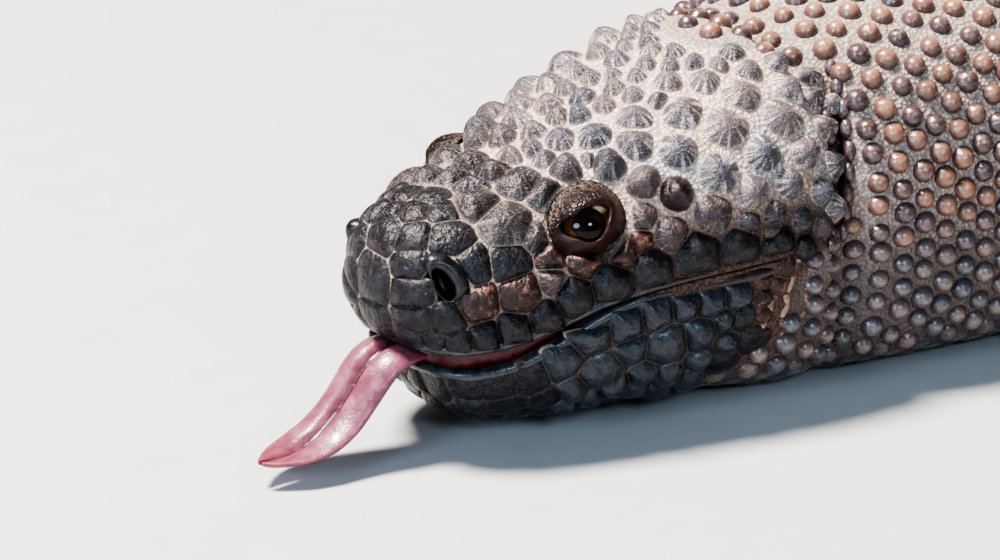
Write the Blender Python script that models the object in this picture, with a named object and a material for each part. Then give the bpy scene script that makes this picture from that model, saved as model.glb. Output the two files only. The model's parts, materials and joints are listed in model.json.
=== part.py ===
"""A Mexican beaded lizard at life size, lying on its belly with its chin on the floor and its tongue out.

Metres, +Z up. The snout points to -X and the left side faces -Y. The origin is on the floor, under the
middle of the belly. Distances along the animal, called back, are in millimetres behind the snout tip.
"""

import math
import random

import bmesh
import bpy
import numpy as np
from mathutils import Vector

MM = 0.001
GAP = 0.3  # mm, between touching nodes

# Lengths behind the snout tip, in mm
JAW_CORNER = 68.0
HEAD_END = 79.0
NECK_END = 142.0
BELLY_MIDDLE = 265.0
TORSO_END = 410.0
TAIL_BASE_END = 500.0
TAIL_MIDDLE_END = 600.0
TAIL_TIP = 706.0

# The trunk's sections: back, half width, underside, widest level, top, then how square the section is above
# and below its widest level. An underside below 0 is pressed flat by the floor.
SECTIONS = np.array([
    (0.0, 0.0, 30.0, 30.0, 30.0, 2.0, 2.0),
    (1.2, 7.2, 23.5, 29.5, 36.0, 2.1, 2.1),
    (4.0, 11.8, 20.2, 28.5, 40.4, 2.2, 2.2),
    (7.0, 14.0, 16.6, 27.5, 42.2, 2.3, 2.3),
    (10.0, 15.6, 10.0, 27.0, 43.2, 2.4, 2.4),
    (14.0, 17.4, 5.8, 26.5, 43.8, 2.5, 2.5),
    (20.0, 19.6, 3.4, 26.0, 44.8, 2.5, 2.5),
    (31.0, 22.8, 2.2, 26.0, 48.2, 2.5, 2.5),
    (45.0, 26.6, 1.8, 27.0, 53.2, 2.4, 2.5),
    (58.0, 29.8, 1.0, 28.0, 57.6, 2.3, 2.7),
    (68.0, 31.0, -0.4, 28.5, 60.0, 2.2, 3.0),
    (75.0, 31.0, -1.2, 28.5, 60.8, 2.2, 3.1),
    (79.2, 29.2, -1.2, 28.0, 58.8, 2.2, 3.0),
    (86.0, 32.0, -1.6, 27.0, 61.6, 2.3, 3.0),
    (110.0, 36.0, -2.0, 26.0, 64.0, 2.4, 2.9),
    (130.0, 37.4, -2.0, 25.5, 64.6, 2.4, 2.7),
    (150.0, 39.0, -2.0, 25.0, 65.2, 2.3, 2.5),
    (180.0, 41.6, -2.0, 25.0, 66.4, 2.3, 2.4),
    (230.0, 45.6, -2.0, 24.0, 66.6, 2.2, 2.4),
    (290.0, 46.8, -2.0, 23.5, 64.6, 2.2, 2.4),
    (340.0, 43.0, -1.8, 22.5, 60.4, 2.2, 2.4),
    (380.0, 34.4, -1.4, 21.5, 53.6, 2.2, 2.3),
    (410.0, 25.6, -0.8, 20.0, 46.6, 2.1, 2.2),
    (440.0, 21.8, -0.6, 19.0, 42.4, 2.0, 2.1),
    (500.0, 18.8, -0.5, 17.0, 36.8, 2.0, 2.0),
    (570.0, 16.0, -0.4, 14.4, 31.2, 2.0, 2.0),
    (640.0, 12.0, -0.4, 10.8, 23.2, 2.0, 2.0),
    (685.0, 8.4, -0.3, 7.6, 16.0, 2.0, 2.0),
    (701.0, 5.6, -0.2, 5.2, 10.8, 2.0, 2.0),
    (706.0, 0.0, 4.8, 4.8, 4.8, 2.0, 2.0),
])

# The spine's bends in plan: where each starts, how long it is, and the turn to the animal's right
BENDS = ((78.0, 60.0, math.radians(-14)), (150.0, 240.0, math.radians(22)), (430.0, 260.0, math.radians(-38)))

# The mouth: back, level of the upper lip's edge, gap down to the lower lip's edge
MOUTH = np.array([
    (-6.0, 20.3, 4.4),
    (8.0, 20.5, 4.4),
    (16.0, 21.4, 4.2),
    (25.0, 23.9, 3.0),
    (34.0, 26.6, 1.5),
    (44.0, 28.0, 0.5),
    (JAW_CORNER + GAP, 29.4, 0.4),
])
LINING_DEPTH = 2.2  # how far the mouth's red lining lies behind the lips
LIP_RADIUS = 1.6

# The eye, on either side
EYE_BACK, EYE_LEVEL = 31.0, 40.0
EYE_RADIUS, EYE_SINK = 5.2, 2.6
LIDS = (7.4, 6.8, 6.9)  # half length, half height and depth of the swelling that the lids make
LID_RISE = 1.0  # how far that swelling lies above the eye
LID_OPENING = (5.2, 2.9, 6.0)  # half length, half height and depth of the opening between the lids
LID_TILT = math.radians(24)

# Nostril and ear: back, level, and the half axes of the hole along, up and in
NOSTRIL = (6.4, 33.4, (2.3, 3.3, 4.6))
EAR = (75.6, 36.0, (1.3, 5.0, 3.2))

# The tongue's middle line: back, level, half width and half thickness
TONGUE = np.array([
    (14.0, 18.7, 4.0, 1.2),
    (9.0, 18.2, 5.6, 1.5),
    (4.0, 18.0, 6.2, 1.8),
    (1.4, 17.2, 6.3, 2.0),
    (-0.8, 15.4, 6.3, 2.1),
    (-2.8, 13.0, 6.2, 2.1),
    (-4.8, 10.6, 6.1, 2.0),
    (-8.0, 7.8, 6.2, 1.8),
    (-12.0, 5.8, 6.2, 1.5),
    (-17.0, 4.8, 5.2, 1.2),
    (-21.6, 4.6, 2.6, 0.9),
    (-23.4, 4.7, 0.9, 0.5),
])
TONGUE_GROOVE = 0.42  # depth of the groove along its middle, as a share of the half thickness
FORK_LENGTH, FORK_GAP = 9.0, 1.3

# Each limb: its joints as back, distance out from the spine, level and radius there, then its palm's back
# and distance out, and the foot's heading outward from straight ahead in degrees
LIMBS = {
    "fore_left": (
        ((152, 22, 26, 13.0), (163, 42, 28, 12.0), (171, 62, 25, 10.4), (159, 76, 16, 8.8), (145, 86, 9.0, 7.2)),
        (136.0, 92.0), 28),
    "fore_right": (
        ((152, 22, 26, 13.0), (168, 41, 28, 12.0), (186, 58, 25, 10.4), (186, 74, 16, 8.8), (178, 86, 9.0, 7.2)),
        (171.0, 93.0), 42),
    "hind_left": (
        ((384, 14, 25, 14.5), (370, 37, 28, 13.6), (358, 60, 25, 11.6), (368, 75, 16, 9.8), (382, 86, 9.5, 8.0)),
        (390.0, 95.0), 58),
    "hind_right": (
        ((386, 14, 25, 14.5), (378, 38, 28, 13.6), (372, 61, 25, 11.6), (388, 73, 16, 9.8), (403, 82, 9.5, 8.0)),
        (412.0, 90.0), 46),
}
# Feet: palm radius and the toes' lengths beyond it, from the inner toe outward
FEET = {"fore": (9.5, (9.5, 13.0, 15.0, 13.5, 9.5)), "hind": (10.5, (9.0, 13.0, 16.0, 16.5, 11.0))}
TOE_SPREAD = (-58, -29, -2, 25, 56)
TOE_RADIUS, CLAW_LENGTH, CLAW_RADIUS = 3.7, 9.0, 1.9

# Beads: radius and height in mm, and how wide the flat top is beside the base
HEAD_PLATE = (3.6, 1.7, 0.45)
NECK_BEAD = (1.9, 1.4, 0.5)
BODY_BEAD = (2.0, 1.3, 0.5)
TAIL_BEAD = (1.9, 1.2, 0.0)
LIMB_BEAD = (1.6, 0.9, 0.0)
UNDERSIDE = -0.4  # no raised beads where the surface faces down more than this

random.seed(7)


def slopes(x, y):
    """Slopes of a smooth curve through the points that never overshoots them."""
    step = np.diff(x)
    rise = np.diff(y) / step
    inner = np.zeros(len(x))
    both = rise[:-1] * rise[1:] > 0
    w1 = 2 * step[1:] + step[:-1]
    w2 = step[1:] + 2 * step[:-1]
    safe = np.where(both, rise[:-1], 1.0), np.where(both, rise[1:], 1.0)
    inner[1:-1] = np.where(both, (w1 + w2) / (w1 / safe[0] + w2 / safe[1]), 0.0)
    inner[0], inner[-1] = rise[0], rise[-1]
    return inner


def smooth_through(x, y, at):
    """The values at the places `at` of the smooth curve through the points."""
    at = np.clip(at, x[0], x[-1])
    k = np.clip(np.searchsorted(x, at) - 1, 0, len(x) - 2)
    h = x[k + 1] - x[k]
    u = (at - x[k]) / h
    m = slopes(x, y)
    left = (1 + 2 * u) * (1 - u) ** 2 * y[k] + u * (1 - u) ** 2 * h * m[k]
    right = u * u * (3 - 2 * u) * y[k + 1] + u * u * (u - 1) * h * m[k + 1]
    return left + right


def ease(u):
    u = np.clip(u, 0, 1)
    return u * u * (3 - 2 * u)


def spine_heading(back):
    return sum(turn * ease((back - start) / length) for start, length, turn in BENDS)


def spine_place(back):
    """The spine's points on the floor, in metres, as an array of x and y."""
    fine = np.arange(-60.0, TAIL_TIP + 1.0, 0.5)
    turn = spine_heading(fine)
    x = np.cumsum(np.cos(turn)) * 0.5
    y = np.cumsum(np.sin(turn)) * 0.5
    x -= np.interp(BELLY_MIDDLE, fine, x)
    y -= np.interp(BELLY_MIDDLE, fine, y)
    return np.stack([np.interp(back, fine, x), np.interp(back, fine, y)], -1) * MM


def place(back, out, level, side=1):
    """The point at a distance back, out from the spine on the left side (side 1) or the right (-1)."""
    centre = spine_place(back)
    turn = spine_heading(back)
    x = centre[..., 0] + np.sin(turn) * out * side * MM
    y = centre[..., 1] - np.cos(turn) * out * side * MM
    return np.stack([x, y, np.broadcast_to(level, np.shape(x)) * MM], -1)


class Skin:
    """A tube of surface, looked up by place along it and by fraction round it from its underside."""

    def __init__(self, rows, table):
        self.rows = np.asarray(rows, float)
        self.table = np.asarray(table, float)

    def point(self, along, fraction):
        r = np.interp(along, self.rows, np.arange(len(self.rows)))
        r0 = np.minimum(r.astype(int), len(self.rows) - 2)
        count = self.table.shape[1]
        c = (np.asarray(fraction) % 1.0) * count
        c0 = c.astype(int) % count
        c1 = (c0 + 1) % count
        u = (r - r0)[..., None]
        v = (c - np.floor(c))[..., None]
        low = self.table[r0, c0] * (1 - v) + self.table[r0, c1] * v
        high = self.table[r0 + 1, c0] * (1 - v) + self.table[r0 + 1, c1] * v
        return low * (1 - u) + high * u

    def normal(self, along, fraction):
        span = (self.rows[-1] - self.rows[0]) * 0.002
        along = np.clip(along, self.rows[0] + span, self.rows[-1] - span)
        ahead = self.point(along + span, fraction) - self.point(along - span, fraction)
        round_it = self.point(along, fraction + 0.01) - self.point(along, fraction - 0.01)
        n = np.cross(ahead, round_it)
        return n / np.maximum(np.linalg.norm(n, axis=-1, keepdims=True), 1e-12)

    def grown(self, by):
        """The same surface moved out by a distance in mm."""
        along, fraction = np.meshgrid(self.rows, np.arange(self.table.shape[1]) / self.table.shape[1], indexing="ij")
        return Skin(self.rows, self.table + self.normal(along, fraction) * by * MM)


def even_ring(across, level, count):
    """A closed outline's points, moved so that they lie at even distances along it."""
    step = np.hypot(np.diff(across, append=across[0]), np.diff(level, append=level[0]))
    run = np.concatenate([[0.0], np.cumsum(step)])
    want = np.arange(count) / count * run[-1]
    return np.interp(want, run, np.append(across, across[0])), np.interp(want, run, np.append(level, level[0]))


def trunk_skin():
    """The whole trunk from snout to tail tip, as rows of points round it."""
    rows = np.concatenate([np.arange(0, 20, 0.25), np.arange(20, TAIL_TIP, 1.0), [TAIL_TIP]])
    half, under, widest, top, above, below = (
        smooth_through(SECTIONS[:, 0], SECTIONS[:, k], rows) for k in range(1, 7))
    angle = np.linspace(-math.pi / 2, 1.5 * math.pi, 361)[:-1]
    table = []
    for i, back in enumerate(rows):
        power = np.where(np.sin(angle) > 0, 2 / above[i], 2 / below[i])
        across = half[i] * np.sign(np.cos(angle)) * np.abs(np.cos(angle)) ** power
        tall = np.where(np.sin(angle) > 0, top[i] - widest[i], widest[i] - under[i])
        level = widest[i] + tall * np.sign(np.sin(angle)) * np.abs(np.sin(angle)) ** power
        across, level = even_ring(across, level, 240)
        table.append(place(np.full(240, back), across, np.maximum(level, 0.0)))
    return Skin(rows, table)


def limb_skin(joints, side):
    """A leg from inside the body to the ankle, along a smooth line through its joints."""
    joints = np.array(joints, float)
    stops = np.arange(len(joints), dtype=float)
    rows = np.linspace(0, stops[-1], 61)
    back, out, level, radius = (smooth_through(stops, joints[:, k], rows) for k in range(4))
    middle = place(back, out, level, side)
    ahead = np.gradient(middle, axis=0)
    ahead /= np.linalg.norm(ahead, axis=1, keepdims=True)
    up = np.array([0, 0, 1.0]) - ahead * ahead[:, 2:]
    up /= np.linalg.norm(up, axis=1, keepdims=True)
    beside = np.cross(ahead, up)
    turn = np.linspace(0, 2 * math.pi, 73)[:-1] - math.pi / 2
    rim = np.cos(turn)[None, :, None] * beside[:, None] + np.sin(turn)[None, :, None] * up[:, None]
    table = middle[:, None] + rim * radius[:, None, None] * MM
    table[..., 2] = np.maximum(table[..., 2], 0.5 * MM)
    return Skin(rows, table)


def material(name, colour, roughness):
    made = bpy.data.materials.new(name)
    made.use_nodes = True
    shader = made.node_tree.nodes["Principled BSDF"]
    shader.inputs["Base Color"].default_value = (*colour, 1)
    shader.inputs["Roughness"].default_value = roughness
    shader.inputs["Metallic"].default_value = 0.0
    return made


def new_object(name, points, faces):
    """A mesh object of triangles, its faces pointing out."""
    mesh = bpy.data.meshes.new(name)
    mesh.from_pydata([tuple(p) for p in points], [], faces)
    work = bmesh.new()
    work.from_mesh(mesh)
    bmesh.ops.triangulate(work, faces=work.faces)
    bmesh.ops.recalc_face_normals(work, faces=work.faces)
    work.to_mesh(mesh)
    work.free()
    made = bpy.data.objects.new(name, mesh)
    bpy.context.scene.collection.objects.link(made)
    return made


def beaded_tube(name, skin, rows, around, stud, point_start=False, point_end=False):
    """A closed tube of triangles in staggered rows. A vertex where stud() gives a size carries a bead:
    a six-sided gem raised in the surface itself. A pointed end closes on one vertex, the others are flat."""
    places = []
    for i, row in enumerate(rows):
        for j in range(around):
            places.append((row, (j + 0.5 * (i % 2)) / around))
    rings = len(rows)
    ring_of = [i for i in range(rings) for _ in range(around)]
    points = [Vector(p) for p in skin.point(np.array([p[0] for p in places]), np.array([p[1] for p in places]))]
    triangles = []
    for i in range(rings - 1):
        for j in range(around):
            a, b = i * around + j, i * around + (j + 1) % around
            c, d = a + around, b + around
            triangles += [(a, b, c), (c, b, d)] if i % 2 == 0 else [(a, b, d), (a, d, c)]
    first, last = range(around), range((rings - 1) * around, rings * around)
    start = len(points)
    points.append(sum((points[k] for k in first), Vector()) / around)
    end = len(points)
    points.append(sum((points[k] for k in last), Vector()) / around)
    if point_start:
        points[start] = Vector(skin.point(np.array(skin.rows[0]), np.array(0.0)))
    if point_end:
        points[end] = Vector(skin.point(np.array(skin.rows[-1]), np.array(0.0)))
    for j in range(around):
        triangles.append((start, first[(j + 1) % around], first[j]))
        triangles.append((end, last[j], last[(j + 1) % around]))

    following = {}
    for a, b, c in triangles:
        following.setdefault(a, {})[b] = c
        following.setdefault(b, {})[c] = a
        following.setdefault(c, {})[a] = b
    studs = {}
    for k, (row, fraction) in enumerate(places):
        if (ring_of[k] == 0 and not point_start) or (ring_of[k] == rings - 1 and not point_end):
            continue
        normal = Vector(skin.normal(np.array(row), np.array(fraction)))
        size = stud(row, points[k], normal)
        if size:
            studs[k] = (size[0] * MM, size[1] * MM, size[2], normal)
    rim_points = {}

    def rim(k, other):
        """The bead's rim where the edge to the other vertex leaves it, on the true surface."""
        if (k, other) not in rim_points:
            share = min(studs[k][0] / (points[other] - points[k]).length, 0.45)
            if other < len(places) and k < len(places):
                (row, f), (row2, f2) = places[k], places[other]
                f2 = f + (f2 - f + 0.5) % 1.0 - 0.5
                on_skin = skin.point(np.array(row + (row2 - row) * share), np.array(f + (f2 - f) * share))
                spot = Vector(on_skin)
            else:
                spot = points[k].lerp(points[other], share)
            rim_points[k, other] = len(points)
            points.append(spot)
        return rim_points[k, other]

    faces = []
    for triangle in triangles:
        corners = []
        for k in range(3):
            before, here, after = triangle[k - 1], triangle[k], triangle[(k + 1) % 3]
            corners += [rim(here, before), rim(here, after)] if here in studs else [here]
        faces.append(corners)
    for k, (radius, height, top, normal) in studs.items():
        spoke = [next(iter(following[k]))]
        while following[k][spoke[-1]] != spoke[0]:
            spoke.append(following[k][spoke[-1]])
        rims = [rim(k, other) for other in spoke]
        wide = sum((points[r] - points[k]).length for r in rims) / len(rims)
        lift = normal * height * min(wide / radius, 1.0)
        if top == 0.0 or len(rims) != 6:
            points.append(points[k] + lift)
            faces += [(rims[j - 1], rims[j], len(points) - 1) for j in range(len(rims))]
            continue
        tops = []
        for j in (0, 2, 4):
            points.append(points[k].lerp(points[rims[j]], top) + lift)
            tops.append(len(points) - 1)
        faces.append(tuple(tops))
        for j in range(3):
            here, beyond = tops[j], tops[(j + 1) % 3]
            edge = rims[2 * j], rims[2 * j + 1], rims[(2 * j + 2) % 6]
            faces += [(edge[0], edge[1], here), (edge[1], edge[2], beyond), (here, edge[1], beyond)]
    used = sorted({k for face in faces for k in face})
    renumber = {k: n for n, k in enumerate(used)}
    return new_object(name, [points[k] for k in used], [[renumber[k] for k in face] for face in faces])


def plain_tube(name, points, radii, sides):
    """A closed round tube through points, in metres, with its radii in mm."""
    points = [Vector(p) for p in points]
    corners, faces = [], []
    for i, centre in enumerate(points):
        ahead = (points[min(i + 1, len(points) - 1)] - points[max(i - 1, 0)]).normalized()
        beside = ahead.cross(Vector((0, 0, 1))).normalized()
        up = beside.cross(ahead)
        for j in range(sides):
            turn = 2 * math.pi * j / sides
            corners.append(centre + (beside * math.cos(turn) + up * math.sin(turn)) * radii[i] * MM)
    for i in range(len(points) - 1):
        for j in range(sides):
            a, b = i * sides + j, i * sides + (j + 1) % sides
            faces.append((a, b, b + sides, a + sides))
    faces.append(tuple(range(sides)))
    faces.append(tuple(range(len(corners) - sides, len(corners))))
    return new_object(name, corners, faces)


def ellipsoid(name, centre, axes, half, rings=10):
    """A closed ellipsoid: its centre in metres, three unit axes, and the half sizes along them in mm."""
    work = bmesh.new()
    bmesh.ops.create_uvsphere(work, u_segments=rings + 4, v_segments=rings, radius=1)
    points = []
    for v in work.verts:
        offset = sum((Vector(axes[k]) * v.co[k] * half[k] * MM for k in range(3)), Vector())
        points.append(Vector(centre) + offset)
    faces = [[v.index for v in f.verts] for f in work.faces]
    work.free()
    return new_object(name, points, faces)


def prism(name, outline, half_width):
    """A solid with an outline in back and level, in mm, reaching half_width to either side of the spine."""
    count = len(outline)
    points = [Vector(place(np.array(back), half_width, level, side)) for side in (1, -1) for back, level in outline]
    faces = [tuple(range(count)), tuple(range(2 * count - 1, count - 1, -1))]
    faces += [(j, (j + 1) % count, (j + 1) % count + count, j + count) for j in range(count)]
    return new_object(name, points, faces)


def combine(made, others, operation):
    """Joins the others to a solid, cuts them from it, or keeps what it shares with them, and removes them."""
    group = bpy.data.collections.new("operands")
    for other in others:
        group.objects.link(other)
    modifier = made.modifiers.new("combine", "BOOLEAN")
    modifier.operation = operation
    modifier.operand_type = "COLLECTION"
    modifier.collection = group
    modifier.solver = "EXACT"
    bpy.context.view_layer.update()
    result = bpy.data.meshes.new_from_object(made.evaluated_get(bpy.context.evaluated_depsgraph_get()))
    made.modifiers.clear()
    made.data = result
    for other in others:
        bpy.data.objects.remove(other)
    bpy.data.collections.remove(group)
    return made


def closed_surfaces(made):
    """The solid's separate closed surfaces as (volume, points, faces), largest first."""
    work = bmesh.new()
    work.from_mesh(made.data)
    bmesh.ops.triangulate(work, faces=work.faces)
    bmesh.ops.remove_doubles(work, verts=work.verts, dist=0.002 * MM)
    bmesh.ops.dissolve_degenerate(work, edges=work.edges, dist=0.002 * MM)
    left, found = set(work.verts), []
    while left:
        front = [left.pop()]
        group = set(front)
        while front:
            for edge in front.pop().link_edges:
                for vertex in edge.verts:
                    if vertex in left:
                        left.discard(vertex)
                        group.add(vertex)
                        front.append(vertex)
        order = {vertex: k for k, vertex in enumerate(group)}
        faces = {face for vertex in group for face in vertex.link_faces}
        faces = [[order[v] for v in face.verts] for face in faces]
        points = [v.co.copy() for v in order]
        volume = sum(points[f[0]].dot(points[f[1]].cross(points[f[2]])) for f in faces if len(f) == 3) / 6
        found.append((abs(volume), points, faces))
    work.free()
    return sorted(found, key=lambda surface: -surface[0])


def keep_largest(made):
    """The solid with only its largest closed surface left."""
    name = made.name
    _, points, faces = closed_surfaces(made)[0]
    bpy.data.objects.remove(made)
    made = new_object(name, points, faces)
    made.name = name
    return made


def floor_cutter():
    """A block that fills the space under the floor, to cut a foot flat."""
    points = [Vector((x, y, z)) for x in (-0.5, 0.5) for y in (-0.3, 0.3) for z in (-0.04, 0.0)]
    faces = [(0, 1, 3, 2), (4, 6, 7, 5), (0, 4, 5, 1), (2, 3, 7, 6), (0, 2, 6, 4), (1, 5, 7, 3)]
    return new_object("floor", points, faces)


def on_flank(trunk, back, level, side):
    """The surface point and outward normal at a level on one side of the trunk."""
    fraction = np.linspace(0.0, 0.5, 501) * side
    line = trunk.point(np.full(501, back), fraction)
    k = int(np.argmin(np.abs(line[:, 2] - level * MM)))
    normal = trunk.normal(np.array(back), np.array(fraction[k]))
    return Vector(line[k]), Vector(normal)


def flank_axes(normal, tilt=0.0):
    """Three axes at a place on the flank: along the body, up over the surface, and outward."""
    along = Vector((0, 0, 1)).cross(normal).normalized()
    up = normal.cross(along)
    turned = along * math.cos(tilt) + up * math.sin(tilt)
    return turned, normal.cross(turned), normal


def wavy(size, share):
    return size * (1 + random.uniform(-share, share))


def stud_rule(size, clear=(), after=0.0):
    """A rule for beads of about one size, with none underneath or within a distance of given places."""

    def stud(row, point, normal):
        if row < after or normal.z < UNDERSIDE or point.z < 3 * MM:
            return None
        if any((point - spot).length < radius * MM for spot, radius in clear):
            return None
        return wavy(size[0], 0.15), wavy(size[1], 0.2), size[2]

    return stud


def mouth_outline():
    """The mouth's gap as an outline in back and level, with the cut down behind the lower jaw."""
    backs = np.linspace(MOUTH[0, 0], MOUTH[-1, 0], 20)
    upper = smooth_through(MOUTH[:, 0], MOUTH[:, 1], backs)
    lower = upper - smooth_through(MOUTH[:, 0], MOUTH[:, 2], backs)
    outline = list(zip(backs, upper))
    outline += [(JAW_CORNER + GAP, -5.0), (JAW_CORNER, -5.0), (JAW_CORNER, lower[-1])]
    outline += list(zip(backs, lower))[-2::-1]
    return outline


def eye_place(trunk, side):
    """The eyeball's centre and the three axes of the eye."""
    spot, normal = on_flank(trunk, EYE_BACK, EYE_LEVEL, side)
    return spot - normal * EYE_SINK * MM, flank_axes(normal, LID_TILT * side)


def lip_line(trunk, upper):
    """The middle of the roll of flesh along one lip, round the snout from corner to corner."""
    backs = np.array([60.0, 46.0, 34.0, 25.0, 17.0, 11.0])
    level = smooth_through(MOUTH[:, 0], MOUTH[:, 1], backs)
    level += LIP_RADIUS if upper else -LIP_RADIUS - smooth_through(MOUTH[:, 0], MOUTH[:, 2], backs)
    front = (4.6, MOUTH[0, 1] + LIP_RADIUS) if upper else (8.8, MOUTH[0, 1] - MOUTH[0, 2] - LIP_RADIUS)
    left, right = ([on_flank(trunk, back, up, side)[0] for back, up in zip(backs, level)] for side in (1, -1))
    return left + [Vector(place(np.array(front[0]), 0.0, front[1]))] + right[::-1]


def make_head(trunk, hide):
    """Skull and upper jaw in one node and the lower jaw in another, cut apart along the mouth."""
    clear = [(on_flank(trunk, EYE_BACK, EYE_LEVEL, s)[0], LIDS[0] + 2.6) for s in (1, -1)]
    clear += [(on_flank(trunk, NOSTRIL[0], NOSTRIL[1], s)[0], 5.0) for s in (1, -1)]
    clear += [(on_flank(trunk, EAR[0], EAR[1], s)[0], 4.5) for s in (1, -1)]
    rolls = []
    for upper in (True, False):
        line = lip_line(trunk, upper)
        rolls.append(plain_tube("lip", line, [LIP_RADIUS] * len(line), 5))
        clear += [(a.lerp(b, share), LIP_RADIUS + 2.0) for a, b in zip(line, line[1:]) for share in (0.0, 0.33, 0.67)]
    rows = [HEAD_END * (k / 13) ** 1.4 for k in range(1, 14)]
    head = beaded_tube("head", trunk, rows, 20, stud_rule(HEAD_PLATE, clear, after=4.0), point_start=True)
    head = combine(head, rolls, "UNION")
    head = combine(head, [prism("mouth_cut", mouth_outline(), 45)], "DIFFERENCE")
    skull, jaw = closed_surfaces(head)[:2]
    bpy.data.objects.remove(head)
    lower_jaw = new_object("lower_jaw", jaw[1], jaw[2])
    head = new_object("head", skull[1], skull[2])
    lids, cuts = [], []
    for side in (1, -1):
        centre, axes = eye_place(trunk, side)
        lids.append(ellipsoid("lid", centre + axes[1] * LID_RISE * MM, axes, LIDS, 8))
        cuts.append(ellipsoid("eye_cut", centre, axes, [EYE_RADIUS + GAP] * 3, 8))
        cuts.append(ellipsoid("opening", centre + axes[2] * LIDS[2] * MM, axes, LID_OPENING, 8))
        for back, level, half in (NOSTRIL, EAR):
            spot, normal = on_flank(trunk, back, level, side)
            cuts.append(ellipsoid("hole", spot, flank_axes(normal), half, 6))
    head = combine(head, lids, "UNION")
    head = keep_largest(combine(head, cuts, "DIFFERENCE"))
    for made in (head, lower_jaw):
        made.data.materials.append(hide)


def make_eyes(trunk, colour):
    for side, name in ((1, "eye_left"), (-1, "eye_right")):
        centre, axes = eye_place(trunk, side)
        eye = ellipsoid(name, centre, axes, [EYE_RADIUS - 0.15] * 3, 8)
        eye.data.materials.append(colour)


def tongue_solid(name, grow=0.0):
    """The tongue, two fleshy lobes side by side with a groove between them."""
    order = TONGUE[::-1]
    backs = np.linspace(order[0, 0], order[-1, 0], 17)
    level, half, thick = (smooth_through(order[:, 0], order[:, k], backs) for k in (1, 2, 3))
    around = 12
    turn = np.linspace(0, 2 * math.pi, around + 1)[:-1]
    groove = 1 - TONGUE_GROOVE * np.exp(-((np.cos(turn) / 0.28) ** 2))
    points, faces = [], []
    for i, back in enumerate(backs):
        across = np.cos(turn) * (half[i] + grow)
        height = level[i] + np.sin(turn) * groove * (thick[i] + grow)
        points += list(place(np.full(around, back), across, height))
    for i in range(len(backs) - 1):
        for j in range(around):
            a, b = i * around + j, i * around + (j + 1) % around
            faces.append((a, b, b + around, a + around))
    faces += [tuple(range(around)), tuple(range(len(points) - around, len(points)))]
    return new_object(name, points, faces)


def make_tongue(flesh):
    tip = TONGUE[-1, 0]
    corners = [(tip - 1, FORK_GAP / 2), (tip - 1, -FORK_GAP / 2), (tip + FORK_LENGTH, 0.0)]
    points = [Vector(place(np.array(back), out, level)) for level in (-2, 8) for back, out in corners]
    faces = [(0, 1, 2), (3, 5, 4), (0, 3, 4, 1), (1, 4, 5, 2), (2, 5, 3, 0)]
    fork = new_object("fork", points, faces)
    tongue = keep_largest(combine(tongue_solid("tongue"), [fork], "DIFFERENCE"))
    tongue.data.materials.append(flesh)


def make_mouth_lining(trunk, flesh):
    """The red lining that closes the gap between the jaws, a little behind the lips."""
    backs = np.linspace(5.0, 42.0, 10)
    upper = smooth_through(MOUTH[:, 0], MOUTH[:, 1], backs) - GAP
    lower = smooth_through(MOUTH[:, 0], MOUTH[:, 1] - MOUTH[:, 2], backs) + GAP
    outline = [p for p in zip(backs, upper)] + list(zip(backs, np.minimum(lower, upper - 0.2)))[::-1]
    inside = trunk.grown(-LINING_DEPTH)
    rows = np.linspace(4.5, 43.0, 7)
    lining = beaded_tube("mouth_lining", inside, rows, 16, lambda *_: None)
    lining = combine(lining, [prism("mouth_gap", outline, 45)], "INTERSECT")
    lining = keep_largest(combine(lining, [tongue_solid("tongue_cut", GAP)], "DIFFERENCE"))
    lining.data.materials.append(flesh)


def make_trunk(trunk, hide):
    """Neck, torso and three lengths of tail, each in its own node."""
    clear = []
    for name, (joints, _, _) in LIMBS.items():
        back, out, level, radius = joints[1]
        clear.append((Vector(place(np.array(float(back)), out, level, side_of(name))), radius + 9.0))
    lengths = (
        ("neck", HEAD_END, NECK_END, 7, 18, NECK_BEAD),
        ("torso", NECK_END, TORSO_END, 19, 16, BODY_BEAD),
        ("tail_base", TORSO_END, TAIL_BASE_END, 8, 12, TAIL_BEAD),
        ("tail_middle", TAIL_BASE_END, TAIL_MIDDLE_END, 9, 10, TAIL_BEAD),
        ("tail_tip", TAIL_MIDDLE_END, TAIL_TIP, 10, 8, TAIL_BEAD),
    )
    for name, start, end, rows, around, bead in lengths:
        last = end == TAIL_TIP
        places = np.linspace(start + GAP, end - 2.5 if last else end, rows)
        made = beaded_tube(name, trunk, places, around, stud_rule(bead, clear), point_end=last)
        made.data.materials.append(hide)


def side_of(name):
    return 1 if name.endswith("left") else -1


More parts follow.
